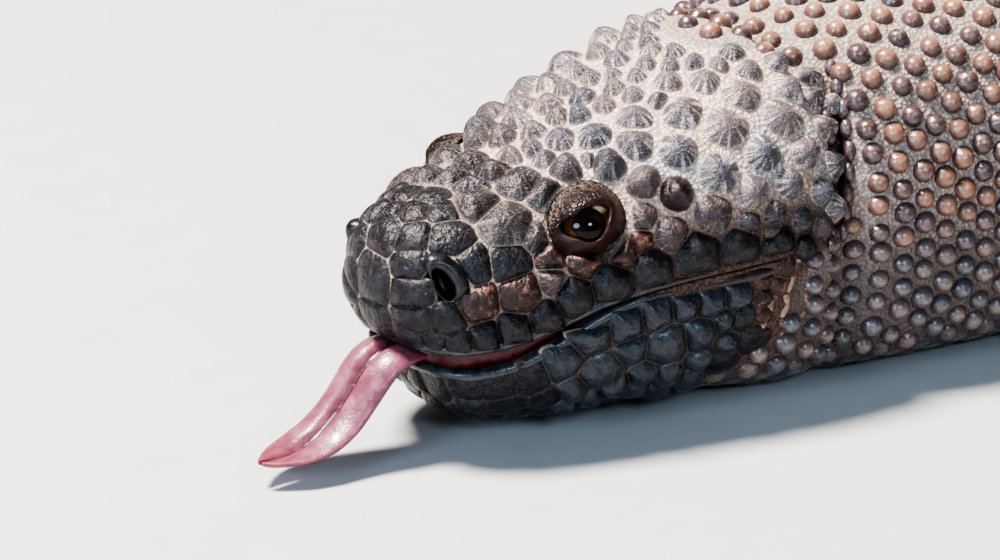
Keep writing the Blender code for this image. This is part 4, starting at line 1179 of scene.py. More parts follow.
for i, (back, height, half, thick) in enumerate(line):
    down = i / (len(line) - 1)
    side_place = np.cos(turn)
    deep = 0.62 + 0.2 * ease((down - 0.6) / 0.3)
    groove = 1 - deep * np.exp(-(side_place / 0.17) ** 2) * (np.sin(turn) > 0)
    groove = groove - 0.3 * np.exp(-(side_place / 0.2) ** 2) * (np.sin(turn) <= 0)
    lobes = 1 + 0.16 * np.sin(np.abs(side_place) * math.pi)
    spoon = ease((down - 0.62) / 0.25) * 0.75 * (1 - side_place ** 2) * (np.sin(turn) > 0)
    up = np.sin(turn) * thick * groove * lobes - spoon * thick
    across = side_place * half
    across = np.where(np.abs(across) < 0.05, 0.0, across)
    wander = 0.5 * math.sin(down * 7.0) * (1 - down)
    point_back = back + over[i, 0] * up
    point_level = height + over[i, 1] * up
    tongue_rows.append(place(point_back, across + wander, np.maximum(point_level, 0.35), 1))
    tongue_down.append(np.full(TONGUE_AROUND, down))
    tongue_side.append(side_place)
tongue = new_piece("tongue_flesh", *tube_mesh(np.array(tongue_rows)))
marks = np.concatenate([np.concatenate(tongue_down), [0.0, 1.0]])
set_attribute(tongue.data, "down", marks)
set_attribute(tongue.data, "beside", np.concatenate([np.abs(np.concatenate(tongue_side)), [0.0, 0.0]]))
outward(tongue)
slit_tip = TONGUE[-1, 0]
slit = new_piece("slit", [place(np.array(b), o, z) for z in (-2.0, 9.0) for b, o in
                          ((slit_tip - 2, 0.55), (slit_tip - 2, -0.55), (slit_tip + 7.5, 0.0))],
                 [(0, 1, 2), (3, 5, 4), (0, 3, 4, 1), (1, 4, 5, 2), (2, 5, 3, 0)])
outward(slit)
fused(tongue, [slit], "DIFFERENCE")
wet = Finish("wet_tongue", Specular_IOR_Level=0.5, Coat_Roughness=0.06, Coat_Weight=0.15,
             Subsurface_Weight=0.18, Subsurface_Scale=0.004)
down, beside = wet.attributes("down", "beside")
cloud = wet.noise(2.6, 3.0)
fine = wet.noise(0.45, 4.0)
tone = wet.mix(cloud.rise(0.3, 0.7), (0.15, 0.042, 0.065), (0.27, 0.100, 0.135))
# Darker down the middle along the groove between the lobes: painted shade.
tone = wet.mix((1 - beside.rise(0.0, 0.24)) * 0.9, tone, (0.055, 0.006, 0.012))
tone = wet.mix(down.rise(0.72, 0.96) * 0.55, tone, (0.20, 0.035, 0.050))
tone = wet.mix(1 - down.rise(0.0, 0.3), tone, (0.17, 0.022, 0.035))
wet.feed(Base_Color=tone, Roughness=0.24 + fine * 0.22,
         Normal=wet.bump(cloud, 0.25, wet.bump(fine, 0.06)))
tongue.data.materials.clear()
tongue.data.materials.append(wet.material)
shade_smooth(tongue.data)
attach(tongue, "root")
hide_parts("tongue")

# The eyes. Each is a wet ball set deep between two thick lids of hide: a brown-black iris, a pale corner of
# the white behind it, an upper lid that is a cracked dome, and a smooth roll below.
OPENING = np.array((   # degrees round from the tail side, distance from the middle of the opening
    (-32, 2.6), (-6, 3.4), (14, 4.2), (32, 3.8), (63, 2.9), (100, 2.8), (119, 3.1), (137, 4.3), (150, 5.0),
    (164, 4.5), (180, 3.8), (203, 3.1), (235, 2.9), (269, 2.75), (297, 2.5), (328, 2.6)))
OPENING_MIDDLE = np.array((-0.5, -0.4))
LID_REACH = np.array((  # degrees round, how far the lid's hide reaches
    (-40, 6.6), (0, 7.9), (50, 8.3), (95, 7.4), (150, 6.7), (200, 6.2), (235, 4.9), (262, 4.3), (295, 4.8),
    (325, 6.2)))
LID_SHARES = (-0.10, -0.05, 0.0, 0.03, 0.07, 0.12, 0.18, 0.25, 0.33, 0.42, 0.52, 0.62, 0.72, 0.82, 0.91, 1.0)
LID_AROUND, LID_THICKNESS = 108, 0.35
LID_TILT = math.radians(24)
EYE_SINK = 2.6
BALL, BALL_AROUND = 5.15, 64
GAZE = (-0.17, -0.07, 1.0)


def eye_axes(side):
    """The eyeball's centre, and its axes towards the tail, up and out."""
    _, spot, normal = eye_seats[side]
    along = unit(np.cross([0, 0, 1.0], normal))
    up = np.cross(normal, along)
    tilt = LID_TILT * side
    turned = along * math.cos(tilt) + up * math.sin(tilt)
    return spot - normal * EYE_SINK, turned * side, np.cross(normal, turned), normal


def around_eye(table, degrees):
    """Values round the eye, smooth where the turn starts again."""
    ring = np.concatenate([table - (360, 0), table, table + (360, 0)])
    return smooth_through(ring[:, 0], ring[:, 1], degrees)


eye_glass = Finish("eye_glass", Roughness=0.06, Specular_IOR_Level=0.2, Coat_Roughness=0.02, Coat_Weight=0.04)
gaze, white = eye_glass.attributes("gaze", "white")
fibre = eye_glass.noise(0.35, 3.0)
tone = eye_glass.mix(gaze.rise(1.05, 1.35), (0.002, 0.0015, 0.0015), (0.011, 0.0045, 0.003))
tone = eye_glass.mix(fibre.rise(0.4, 0.7) * gaze.rise(1.1, 1.5) * 0.4, tone, (0.045, 0.018, 0.008))
tone = eye_glass.mix(gaze.rise(2.5, 2.8), tone, (0.008, 0.005, 0.004))
tone = eye_glass.mix(gaze.rise(2.9, 3.2), tone,
                     eye_glass.mix(white, (0.055, 0.020, 0.009), (0.66, 0.52, 0.30)))
eye_glass.feed(Base_Color=tone)
lid_hide = Finish("lid_hide", Specular_IOR_Level=0.26)
upper_part, edge_part = lid_hide.attributes("upper", "edge")
twist = lid_hide.node("VectorMath", {"operation": "MULTIPLY_ADD"},
                      {0: lid_hide.noise(1.1, 2.0, output=1), 1: (0.0012, 0.0012, 0.0012), 2: lid_hide.here})
crack = lid_hide.cells(1.0, "DISTANCE_TO_EDGE", at=twist)
fine = lid_hide.noise(0.35, 3.0)
cloud = lid_hide.noise(1.6, 3.0)
tone = lid_hide.mix(cloud.rise(0.3, 0.7), (0.008, 0.004, 0.005), (0.026, 0.013, 0.012))
tone = lid_hide.mix(upper_part * (1 - crack.rise(0.02, 0.12)) * edge_part.rise(0.40, 0.9) * 0.34, tone,
                    (0.36, 0.26, 0.19))
tone = lid_hide.mix(upper_part * fine.rise(0.5, 0.75) * edge_part.rise(0.4, 0.8) * 0.25, tone,
                    (0.30, 0.23, 0.18))
tone = lid_hide.mix((1 - edge_part.rise(0.05, 0.35) * upper_part) * 0.85, tone, (0.034, 0.0135, 0.0125))
lid_hide.feed(Base_Color=tone, Roughness=(0.34 - upper_part * (0.16 - edge_part * 0.18) + fine * 0.12),
              Normal=lid_hide.bump(crack.least(0.2) * upper_part, 0.5, lid_hide.bump(fine, 0.07)))

for side, name in ((1, "left"), (-1, "right")):
    centre, tailward, upward, out = eye_axes(side)
    turn = full_turn(BALL_AROUND)
    lean = np.linspace(0, math.pi, 49)[1:-1]
    look = unit(np.array(GAZE))
    look_side = unit(np.cross([0, 1.0, 0], look))
    look_up = np.cross(look, look_side)
    bulge = BALL * (1 + 0.035 * np.exp(-(lean / 0.42) ** 2))
    ring = np.cos(turn)[None, :, None] * look_side + np.sin(turn)[None, :, None] * look_up
    local = (np.sin(lean)[:, None, None] * ring + np.cos(lean)[:, None, None] * look) * bulge[:, None, None]
    table = local @ np.array([tailward, upward, out]) + centre
    eyeball = new_piece("eyeball_" + name, *tube_mesh(table), [eye_glass.material])
    set_attribute(eyeball.data, "gaze", np.concatenate([np.repeat(lean * BALL, BALL_AROUND), [0.0, 20.0]]))
    corner = (ease(local[..., 0] - 1.0) * ease(local[..., 1])).ravel()
    set_attribute(eyeball.data, "white", np.concatenate([corner, [0, 0]]))
    outward(eyeball)
    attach(eyeball, "root")
    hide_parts("eye_" + name)

    degrees = np.linspace(0, 360, LID_AROUND + 1)[:-1]
    turn = np.radians(degrees)
    inner, outer = around_eye(OPENING, degrees), around_eye(LID_REACH, degrees)
    direction = np.stack([np.cos(turn), np.sin(turn)], -1)
    upper_share = ease((np.sin(turn + 0.1) + 0.1) / 0.6)
    rim_far = np.linalg.norm(OPENING_MIDDLE + direction * inner[:, None], axis=1)
    over_ball = np.sqrt(np.maximum((BALL + 0.16) ** 2 - np.minimum(rim_far, 4.9) ** 2, 0.2))
    fullness = 0.7 + (0.8 if side > 0 else 0.3) * upper_share
    lid_rows = []
    for share in LID_SHARES:
        reach = inner * (1 + min(share, 0.0) * 0.9) + (outer - inner) * max(share, 0.0)
        flat = OPENING_MIDDLE + direction * reach[:, None]
        if share < 0:
            near = np.minimum(np.linalg.norm(flat, axis=1), 4.8)
            height = np.sqrt(np.maximum((BALL - 0.25) ** 2 - near ** 2, 0.2)) - 0.3 * (share < -0.07)
        else:
            swell = fullness * np.sin(math.pi * share ** 0.62) ** 0.85
            height = (over_ball * (1 - ease(share)) + (EYE_SINK - 1.0) * ease(share) + swell
                      + 0.35 * (1 - ease(share / 0.3)))
        lid_rows.append(centre + flat[:, :1] * tailward + flat[:, 1:] * upward + height[:, None] * out)
    table = np.array(lid_rows)
    lid = new_piece("lids_" + name, table.reshape(-1, 3), grid_faces(len(table), LID_AROUND),
                    [lid_hide.material])
    set_attribute(lid.data, "edge", np.repeat(np.maximum(LID_SHARES, 0.0), LID_AROUND))
    set_attribute(lid.data, "upper", np.tile(upper_share, len(table)))
    outward(lid)
    wall = lid.modifiers.new("wall", "SOLIDIFY")
    wall.thickness, wall.offset = LID_THICKNESS * MM, -1.0
    apply_modifiers(lid)
    shade_smooth(lid.data)
    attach(lid, "root")

# The nostrils, each a dark oval pit with a thick smooth roll of hide round its upper and hind side. Each is
# one tube, closed at the pit's end, whose outer rim dips under the skin.
PIT_ROWS = ((0.04, -3.4), (0.5, -3.3), (0.8, -2.5), (0.95, -1.2))      # share of the opening, height
ROLL_ROWS = ((0.0, -0.30), (0.22, 0.34), (0.55, 0.66), (0.95, 0.82), (1.4, 0.84), (1.9, 0.72), (2.35, 0.42),
             (2.7, -0.1), (2.85, -0.9))                               # how far out, height
PIT_AROUND = 72
nostril_hide = Finish("nostril_hide", Specular_IOR_Level=0.5)
cloud, fine = nostril_hide.noise(1.4, 3.0), nostril_hide.noise(0.3, 4.0)
tone = nostril_hide.mix(cloud.rise(0.3, 0.7), (0.004, 0.004, 0.005), (0.020, 0.019, 0.021))
pit_painted_shade, = nostril_hide.attributes("pit")
# Inside the pit the hide is painted nearly black: painted shade of the hole.
tone = nostril_hide.mix(pit_painted_shade, tone, (0.004, 0.003, 0.003))
nostril_hide.feed(Base_Color=tone, Roughness=0.22 + fine * 0.2, Normal=nostril_hide.bump(fine, 0.07))
for side, name in ((1, "left"), (-1, "right")):
    spot, along, up, normal = nostril_spots[side]
    turn = full_turn(PIT_AROUND)
    hind = roll_share(turn)
    rows = []
    for share, height in PIT_ROWS:
        rows.append(spot + (np.cos(turn) * NOSTRIL_WIDE * share)[:, None] * along
                    + (np.sin(turn) * NOSTRIL_TALL * share)[:, None] * up + height * normal)
    for far, rise in ROLL_ROWS:
        lift = np.where(rise > 0, 0.30 + (rise - 0.30) * hind + 0.45 * hind * rise, rise)
        rows.append(spot + (np.cos(turn) * (NOSTRIL_WIDE + far * hind))[:, None] * along
                    + (np.sin(turn) * (NOSTRIL_TALL + far * hind))[:, None] * up + lift[:, None] * normal)
    table = np.array(rows)
    closed = grid_faces(len(table), PIT_AROUND) + [list(range(PIT_AROUND))]
    pit = new_piece("nostril_" + name, table.reshape(-1, 3), closed, [nostril_hide.material])
    set_attribute(pit.data, "pit", np.repeat(np.arange(len(rows)) < len(PIT_ROWS), PIT_AROUND).astype(float))
    outward(pit)
    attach(pit, "root")

# The beads of neck, trunk, tail, legs and feet. Each is a button of bone under a glossy scale, set in
# staggered rows. Nodes set one shape on every place, turned to the hide there, and make them one mesh.
def bead_shape(name, steps, sides):
    """One bead of unit radius: its rows as pairs of radius and height, the first row a single point."""
    turn = full_turn(sides)
    points = [np.array([0.0, 0.0, steps[0][1]])]
    for wide, height in steps[1:]:
        points += list(np.stack([np.cos(turn) * wide, np.sin(turn) * wide, np.full(sides, height)], -1))
    made = new_piece(name, np.array(points) / MM, fan_faces(len(steps) - 1, sides))
    reach = np.concatenate([[0.0]] + [np.full(sides, wide) for wide, _ in steps[1:]])
    set_attribute(made.data, "rim", reach)
    set_attribute(made.data, "patch", np.array(points) * (1, 1, 0))
    return made


def bead_nodes():
    """The nodes that set a bead on every place."""
    tree = bpy.data.node_groups.new("set_beads", "GeometryNodeTree")
    tree.interface.new_socket("Geometry", in_out="OUTPUT", socket_type="NodeSocketGeometry")
    for label, kind in (("Places", "Geometry"), ("Bead", "Object"), ("Bead size", "Float"),
                        ("Unevenness", "Float"), ("Seed", "Int"), ("Finish", "Material")):
        tree.interface.new_socket(label, in_out="INPUT", socket_type="NodeSocket" + kind)

    def add(kind, settings=None, **links):
        node = tree.nodes.new(kind)
        for key, value in (settings or {}).items():
            setattr(node, key, value)
        for key, value in links.items():
            socket = node.inputs[int(key[1:])] if key[0] == "_" else node.inputs[key]
            if isinstance(value, bpy.types.NodeSocket):
                tree.links.new(value, socket)
            else:
                socket.default_value = value
        return node

    def carried(name):
        return add("GeometryNodeInputNamedAttribute", {"data_type": "FLOAT_VECTOR"}, Name=name).outputs[0]

    asked = add("NodeGroupInput").outputs
    upright = add("FunctionNodeAlignRotationToVector", {"axis": "Z"}, Vector=carried("outward")).outputs[0]
    laid = add("FunctionNodeAlignRotationToVector", {"axis": "X", "pivot_axis": "Z"},
               Rotation=upright, Vector=carried("lie")).outputs[0]
    low = add("ShaderNodeMath", {"operation": "SUBTRACT"}, _0=1.0, _1=asked["Unevenness"]).outputs[0]
    high = add("ShaderNodeMath", {"operation": "ADD"}, _0=1.0, _1=asked["Unevenness"]).outputs[0]
    uneven = add("FunctionNodeRandomValue", {"data_type": "FLOAT"},
                 _2=low, _3=high, Seed=asked["Seed"]).outputs[1]
    factor = add("ShaderNodeMath", {"operation": "MULTIPLY"}, _0=asked["Bead size"], _1=uneven).outputs[0]
    scale = add("ShaderNodeVectorMath", {"operation": "SCALE"},
                Vector=carried("size"), Scale=factor).outputs[0]
    shape = add("GeometryNodeObjectInfo", {"transform_space": "ORIGINAL"}, Object=asked["Bead"])
    set_out = add("GeometryNodeInstanceOnPoints", Points=asked["Places"], Instance=shape.outputs["Geometry"],
                  Rotation=laid, Scale=scale)
    solid = add("GeometryNodeRealizeInstances", Geometry=set_out.outputs[0]).outputs[0]
    painted = add("GeometryNodeSetMaterial", Geometry=solid, Material=asked["Finish"]).outputs[0]
    tree.links.new(painted, add("NodeGroupOutput").inputs[0])
    return tree


BEAD_NODES = bead_nodes()
UNEVENNESS = 0.08


def bead_place(at, outer, lie, size, root, tint, light, warm, flat):
    """A bead's point, the ways it faces and lies, its size, its root on the map, and its marks."""
    return {"at": at, "outward": outer, "lie": lie, "size": size, "root": (*root, 0),
            "tint": tint, "light": light, "warm": warm, "flat": flat}


def set_beads(name, shape, finish, places, seed):
    """One joined mesh of beads on their places."""
    base = new_piece(name + "_places", np.array([p["at"] for p in places]), [])
    for key in ("outward", "lie", "size", "root", "tint", "light", "warm", "flat"):
        set_attribute(base.data, key, np.array([p[key] for p in places]))
    step = base.modifiers.new("beads", "NODES")
    step.node_group = BEAD_NODES
    wanted = {"Bead": shape, "Bead size": MM, "Unevenness": UNEVENNESS, "Seed": seed, "Finish": finish}
    for item in BEAD_NODES.interface.items_tree:
        if item.in_out == "INPUT" and item.name in wanted:
            step[item.identifier] = wanted[item.name]
    mesh = worked_out(base)
    mesh.name = name
    made = bpy.data.objects.new(name, mesh)
    bpy.context.scene.collection.objects.link(made)
    bpy.data.objects.remove(base)
    root, patch = (read(mesh.attributes[key].data, "vector", 3, np.float32) for key in ("root", "patch"))
    spot = (root + patch * PATCH)[read(mesh.loops, "vertex_index"), :2]
    set_map(mesh, np.clip(spot, 0, 1))
    for key in ("patch", "root", "outward", "lie", "size"):
        mesh.attributes.remove(mesh.attributes[key])
    shade_smooth(mesh)
    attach(made, "root")


leg_shells = [shell_of(leg.table) for leg in limb_skins.values()]
full_shell = shell_of(smooth_trunk.table)


def depth_in(shell, point):
    """How far a point is inside a closed shell; less than 0 outside it."""
    hit, facing, _, _ = shell.find_nearest(Vector(point))
    return -(Vector(point) - hit).dot(facing)


def on_skin(point):
    """The nearest point of the skin, and the way that it faces there."""
    hit, facing, _, _ = skin_tree.find_nearest(Vector(point))
    return np.array(hit), np.array(facing)


BAND_LENGTH = 62


def marking(back, fraction):
    """How pale the hide is at a place: broken bands along the trunk, rings on the tail."""
    wander = 1.1 * math.sin(fraction * 12.6) + 0.8 * math.sin(fraction * 31 + back / 19)
    wave = math.sin(back / BAND_LENGTH * 2 * math.pi + wander)
    spot = math.sin(back / 9.0 + 4 * math.sin(fraction * 19)) * math.sin(fraction * 47 + back / 13)
    strength = 0.35 + 0.5 * ease((back - 380) / 90)
    return float(ease((wave * 0.62 + spot * 0.42 - 0.12) / 0.5) * strength * ease((back - 110) / 60))


def trunk_places(start, end, pitch, count, width, tall, begin=None, sparse=0.0):
    """Staggered rows of places for beads round the trunk."""
    places = []
    rows = int(round((end - start) / pitch))
    for i in range(rows):
        back = start + (end - start) * (i + 0.5) / rows
        for j in range(count):
            fraction = ((j + 0.5 * (i % 2)) / count + random.uniform(-0.10, 0.10) / count) % 1.0
            crowd = 1 + sparse * math.cos(4 * math.pi * fraction)
            fraction += sparse * math.sin(4 * math.pi * fraction) / (4 * math.pi)
            here = back + random.uniform(-0.25, 0.25)
            if begin is not None and here < np.interp(from_underside(fraction), *begin.T) + 0.9:
                continue
            spot = smooth_trunk.point(here, fraction)
            outer = smooth_trunk.normal(here, fraction)
            if any(depth_in(shell, spot) > -0.6 for shell in leg_shells
                   if 130 < here < 200 or 340 < here < 420):
                continue
            at, facing = on_skin(spot)
            outer = unit(outer * 0.6 + facing * 0.4)
            room = smooth_trunk.girth_at(here) / count * crowd
            belly = float(ease((-outer[2] - 0.55) / 0.25))
            wide = min(width, room * 0.43) * (1 + 0.22 * belly)
            ahead = smooth_trunk.point(here + 1, fraction) - spot
            size = (min(width, pitch * 0.44) * (1 + 0.1 * belly), wide, tall * wide * (1 - 0.8 * belly))
            # The warm mark is how high the bead sits; on the neck it turns the low beads blue-grey as painted
            # cool shade.
            places.append(bead_place(at - outer * 0.12, outer, unit(ahead), size,
                                     trunk_map(here, fraction % 1.0), random.random(),
                                     marking(here, fraction), float(ease((spot[2] - 16) / 22)), belly))
    return places


BUTTON = ((0, 1.0), (0.34, 0.94), (0.64, 0.73), (0.86, 0.42), (1.0, 0.04), (1.02, -0.25))
LOW_BUTTON = ((0, 1.0), (0.42, 0.90), (0.78, 0.56), (1.0, 0.05), (1.02, -0.3))
SMALL_BUTTON = ((0, 1.0), (0.5, 0.84), (0.9, 0.35), (1.02, -0.3))
button = bead_shape("button", BUTTON, 12)
low_button = bead_shape("low_button", LOW_BUTTON, 10)
small_button = bead_shape("small_button", SMALL_BUTTON, 8)

pearl = Finish("bead_horn", Specular_IOR_Level=0.5)
tint, light, flat_part, rim = pearl.attributes("tint", "light", "flat", "rim")
cloud, fine = pearl.noise(1.1, 3.0), pearl.noise(0.3, 3.0)
tone = pearl.mix(tint, (0.050, 0.034, 0.034), (0.135, 0.075, 0.055))
tone = pearl.mix(light, tone, pearl.mix(tint, (0.46, 0.26, 0.13), (0.60, 0.42, 0.24)))
tone = pearl.mix(cloud.rise(0.42, 0.7) * 0.35, tone, (0.30, 0.21, 0.17))
tone = pearl.mix(flat_part * 0.6, tone, pearl.mix(light, (0.12, 0.09, 0.075), (0.52, 0.40, 0.27)))
tone = pearl.mix(rim.rise(0.7, 1.0) * 0.45, tone, (0.035, 0.024, 0.02))
pearl.feed(Base_Color=tone, Roughness=0.30 + fine * 0.25 + flat_part * 0.15,
           Normal=pearl.bump(cloud, 0.16, pearl.bump(fine, 0.04)))

neck_pearl = Finish("neck_bead_horn", Specular_IOR_Level=0.8)
tint, warm, rim = neck_pearl.attributes("tint", "warm", "rim")
cloud, fine = neck_pearl.noise(0.9, 3.0), neck_pearl.noise(0.28, 3.0)
brown = neck_pearl.mix(tint.rise(0.0, 1.0), (0.075, 0.036, 0.034), (0.31, 0.145, 0.088))
# Low on the neck the beads turn blue-grey: painted cool shade below the upper beads.
painted_shade_blue = neck_pearl.mix(tint, (0.075, 0.078, 0.094), (0.185, 0.150, 0.135))
tone = neck_pearl.mix((warm * 0.85 + tint * 0.35 - 0.1).least(1.0).most(0.0), painted_shade_blue, brown)
tone = neck_pearl.mix(cloud.rise(0.45, 0.75) * 0.3, tone, (0.45, 0.33, 0.27))
# Each bead darkens towards its rim, where it meets the hide: painted shade.
tone = neck_pearl.mix(rim.rise(0.40, 1.0) * 0.75, tone, (0.045, 0.026, 0.028))
neck_pearl.feed(Base_Color=tone, Roughness=0.16 + fine * 0.22,
                Normal=neck_pearl.bump(cloud, 0.15, neck_pearl.bump(fine, 0.04)))

random.seed(77)
neck_places = trunk_places(50.0, 146.0, 4.7, 41, 2.05, 0.92, begin=NECK_START, sparse=0.16)
# Two close rows of dark beads line the crease behind the head, one on either edge.
for side in (1, -1):
    for edge in (-1.35, 1.6):
        for flank in np.arange(0.262, 0.415, 0.0175):
            flank = flank + random.uniform(-0.002, 0.002)
            here = float(crease_line(flank)) + edge + random.uniform(-0.2, 0.2)
            outer = smooth_trunk.normal(here, flank * side)
            at = smooth_trunk.point(here, flank * side) - outer * 0.75
            neck_places.append(bead_place(at, outer, (0, 0, 1.0), (1.95, 1.25, 1.45),
                                          trunk_map(here, flank * side % 1.0),
                                          random.uniform(-0.3, 0.2), 0.0, 0.9, 0.0))
set_beads("neck_beads", button, neck_pearl.material, neck_places, seed=3)
torso_places = trunk_places(146.0, 412.0, 4.6, 52, 2.05, 0.72)
half = len(torso_places) // 2
set_beads("torso_beads_front", low_button, pearl.material, torso_places[:half], seed=4)
set_beads("torso_beads_hind", low_button, pearl.material, torso_places[half:], seed=5)
tail_places = (trunk_places(412, 500, 4.3, 30, 1.95, 0.66) + trunk_places(500, 602, 4.1, 24, 1.85, 0.64)
               + trunk_places(602, 660, 3.7, 18, 1.65, 0.62) + trunk_places(660, 700, 3.3, 12, 1.45, 0.6))
set_beads("tail_beads", low_button, pearl.material, tail_places, seed=6)

leg_places = []
LEG_PITCH, LEG_SPACE = 4.2, 4.5
for number, leg in enumerate(limb_skins.values()):
    run = np.linalg.norm(np.diff(leg.table.mean(1), axis=0), axis=1).sum()
    rows = int(run / LEG_PITCH)
    for i in range(rows):
        along = (i + 0.5) / rows * leg.rows[-1]
        girth = leg.girth_at(along)
        count = max(int(girth / LEG_SPACE), 8)
        for j in range(count):
            fraction = (j + 0.5 * (i % 2) + random.uniform(-0.1, 0.1)) / count % 1.0
            spot = leg.point(along, fraction)
            if depth_in(full_shell, spot) > -1.2:
                continue
            at, facing = on_skin(spot)
            if np.linalg.norm(at - spot) > 3.5 or at[2] < 0.6:
                continue
            before, after = max(along - 0.05, 0), min(along + 0.05, leg.rows[-1])
            ahead = unit(leg.point(after, fraction) - leg.point(before, fraction))
            under = float(ease((-facing[2] - 0.4) / 0.4))
            wide = min(1.75, girth / count * 0.42)
            leg_places.append(bead_place(at - facing * 0.1, facing, ahead,
                                         (1.75, wide, 0.66 * wide * (1 - 0.6 * under)),
                                         leg_map(number, along / leg.rows[-1], fraction), random.random(),
                                         0.5 * marking(float(number * 40 + along * 30), fraction * 0.5),
                                         0.5, under))
set_beads("leg_beads", low_button, pearl.material, leg_places, seed=7)

# The feet are beaded on their upper sides only, up to the beads of the legs.
leg_spots = np.array([p["at"] for p in leg_places])
foot_places = []
FOOT_REACH, FOOT_SPACE, LEG_GAP = 34, 2.35, 2.9
for number, name in enumerate(LIMBS):
    centre = foot_frame(name)[0]
    close = coords[np.linalg.norm(coords - centre, axis=1) < FOOT_REACH]
    order = np.random.default_rng(number).permutation(len(close))
    taken = np.zeros((0, 3))
    for k in order:
        spot = close[k]
        if spot[2] < 1.2 or np.min(np.linalg.norm(leg_spots - spot, axis=1)) < LEG_GAP:
            continue
        if len(taken) and np.min(np.linalg.norm(taken - spot, axis=1)) < FOOT_SPACE:
            continue
        at, facing = on_skin(spot)
        if facing[2] < -0.15:
            continue
        taken = np.vstack([taken, spot])
        flat = (spot - centre)[:2]
        lie = unit(np.append(flat, 0.0))
        foot_places.append(bead_place(at - facing * 0.08, facing, lie, (1.25, 1.12, 0.6),
                                      foot_map(number, flat, True), random.random(), 0.1, 0.4, 0.3))
set_beads("foot_beads", small_button, pearl.material, foot_places, seed=8)

# Beads fill the bare hide that the rows leave where legs and body join.
beaded = tree_of([p["at"] for p in neck_places + torso_places + tail_places + leg_places + foot_places])
join_places = []
JOIN_START, JOIN_END, JOIN_BARE, JOIN_SPACE = 140, 690, 3.3, 3.4
taken = np.full((1, 3), 9e9)
for k in np.random.default_rng(9).permutation(skin_count):
    spot = coords[k]
    if not JOIN_START <= skin_back[k] <= JOIN_END or spot[2] < 1.5 or beaded.find(spot)[2] < JOIN_BARE:
        continue
    if np.min(np.linalg.norm(taken - spot, axis=1)) < JOIN_SPACE:
        continue
    taken = np.vstack([taken, spot])
    at, facing = on_skin(spot)
    join_places.append(bead_place(at - facing * 0.1, facing, (1.0, 0, 0), (1.5, 1.4, 0.95),
                                  trunk_map(skin_back[k], skin_round[k]), random.random(), 0.1, 0.5, 0.2))
set_beads("join_beads", low_button, pearl.material, join_places, seed=9)
for shape in (button, low_button, small_button):
    bpy.data.objects.remove(shape)

# The claws, one on each toe: a curved cone of dark horn, paler and worn at its point.
# Each begins inside the toe's end, rises a little over it and bends down to the floor.
claw_horn = Finish("claw_horn", Specular_IOR_Level=0.5)
tip, = claw_horn.attributes("tip")
grain = claw_horn.noise(0.5, 3.0, at=claw_horn.stretched((0, 0, 0), (1.0, 1.0, 0.25)))
tone = claw_horn.mix(tip * (0.5 + grain * 0.7), (0.045, 0.030, 0.022), (0.42, 0.32, 0.20))
claw_horn.feed(Base_Color=tone, Roughness=0.26 + grain * 0.2, Normal=claw_horn.bump(grain, 0.08))
CLAW = (  # how far out from the toe's end, level, radius
    (-2.5, 3.4, 1.9), (0, 3.9, 1.85), (2.4, 4.1, 1.55), (4.8, 3.6, 1.2), (7.2, 2.4, 0.75), (9.2, 0.9, 0.16))
CLAW_ROWS, CLAW_AROUND = 20, 12
for name in LIMBS:
    centre, forward, palm, toes = foot_frame(name)
    tubes = []
    for spread, length in zip(TOE_SPREAD, toes):
        line = pointing(forward + math.radians(spread) * side_of(name))
        reach = palm * 0.55 + length
        start = centre + line * (palm * 0.45 + reach)
        steps = [(*(start + line * far)[:2], level, wide) for far, level, wide in CLAW]
        hook = smooth_line(steps, CLAW_ROWS)
        tubes.append(round_tube(hook[:, :3], hook[:, 3], CLAW_AROUND))
    points, faces = joined(tubes)
    claws = new_piece("claws_" + name, np.maximum(points, (-9e9, -9e9, 0.05)), faces, [claw_horn.material])
    tips = np.append(np.repeat(np.linspace(0, 1, CLAW_ROWS), CLAW_AROUND), [0.0, 1.0])
    set_attribute(claws.data, "tip", np.tile(tips, len(toes)))
    outward(claws)
    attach(claws, "root")

# The floor: one wide, plain, pale sheet that the animal rests on.
# It belongs to the stage and is no piece of the animal.
floor_finish = Finish("floor_paint", Specular_IOR_Level=0.3)
grain = floor_finish.noise(9.0, 4.0)
floor_finish.feed(Base_Color=floor_finish.mix(grain, (0.44, 0.435, 0.425), (0.49, 0.485, 0.475)),
                  Roughness=0.7 + grain * 0.1)
FLOOR = 2500.0
floor = new_piece("floor", [(-FLOOR, -FLOOR, 0), (FLOOR, -FLOOR, 0), (FLOOR, FLOOR, 0), (-FLOOR, FLOOR, 0)],
                  [(0, 1, 2, 3)], [floor_finish.material])

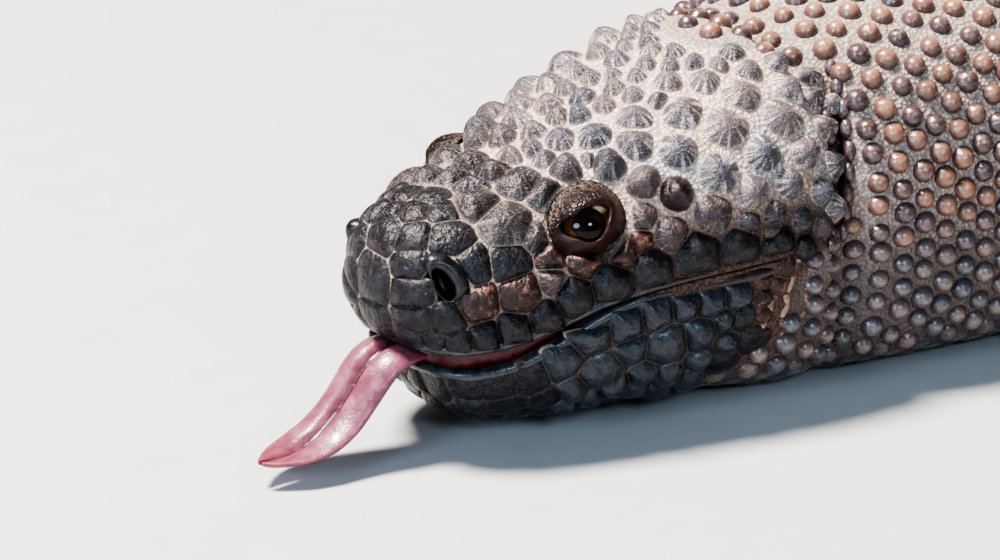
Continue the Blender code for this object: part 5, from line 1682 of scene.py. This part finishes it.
# The studio: a warm soft box high over the snout's side, a cool one low in front for the jaw, a weak cool one
# beside the camera, a weak white one behind the animal, and a pale room. The camera has the photo's framing.
CAMERA_AZIMUTH, CAMERA_TILT = math.radians(-39), math.radians(21)
CAMERA_FAR, VIEW_WIDTH = 1.1, 0.1667
AIM_UP, AIM_RIGHT = 0.02667, 0.02157
away = Vector((math.sin(CAMERA_AZIMUTH) * math.cos(CAMERA_TILT),
               -math.cos(CAMERA_AZIMUTH) * math.cos(CAMERA_TILT), math.sin(CAMERA_TILT)))
rightward = Vector((math.cos(CAMERA_AZIMUTH), math.sin(CAMERA_AZIMUTH), 0))
snout_tip = place(np.array(0.0), 0.0, 0.0) * MM
aim_level = AIM_UP / math.cos(CAMERA_TILT) + 0.003
target = Vector((snout_tip[0], snout_tip[1], aim_level)) + rightward * AIM_RIGHT
near = Vector((away.x, away.y, 0)).normalized()


def soft_box(name, spot, size, power, colour, aim=None):
    """An oval lamp that faces the head, or another place."""
    light = bpy.data.lights.new(name, "AREA")
    light.shape = "ELLIPSE"
    light.size, light.size_y = size
    light.energy = power
    light.color = colour
    made = bpy.data.objects.new(name, light)
    made.location = spot
    made.rotation_euler = ((aim or target) - Vector(spot)).to_track_quat("-Z", "Y").to_euler()
    bpy.context.scene.collection.objects.link(made)


soft_box("key_light", target - rightward * 0.45 - near * 0.06 + Vector((0, 0, 1.15)), (0.30, 0.30), 56,
         (1.0, 0.93, 0.86))
soft_box("window_light", target + near * 0.9 - rightward * 0.75 + Vector((0, 0, 0.42)), (0.45, 0.45), 10,
         (0.58, 0.78, 1.0))
soft_box("fill_light", target + away * 1.3 + rightward * 0.5 + Vector((0, 0, 0.25)), (0.4, 0.3), 8.5,
         (0.62, 0.80, 1.0))
soft_box("back_light", target - near * 1.5 + rightward * 0.8 + Vector((0, 0, 0.9)), (1.0, 0.8), 6,
         (0.95, 0.97, 1.0), target + rightward * 0.3)
world = bpy.data.worlds.new("room")
bpy.context.scene.world = world
world.use_nodes = True
world.node_tree.nodes["Background"].inputs["Color"].default_value = (0.74, 0.82, 0.90, 1)
world.node_tree.nodes["Background"].inputs["Strength"].default_value = 0.17

camera_data = bpy.data.cameras.new("camera")
camera_data.sensor_fit = "HORIZONTAL"
camera_data.angle = 2 * math.atan(VIEW_WIDTH / 2 / CAMERA_FAR)
camera_data.clip_start, camera_data.clip_end = 0.05, 20.0
camera = bpy.data.objects.new("camera", camera_data)
camera.location = target + away * CAMERA_FAR
camera.rotation_euler = (-away).to_track_quat("-Z", "Y").to_euler()
bpy.context.scene.collection.objects.link(camera)
bpy.context.scene.camera = camera
bpy.context.scene.view_settings.look = "AgX - High Contrast"
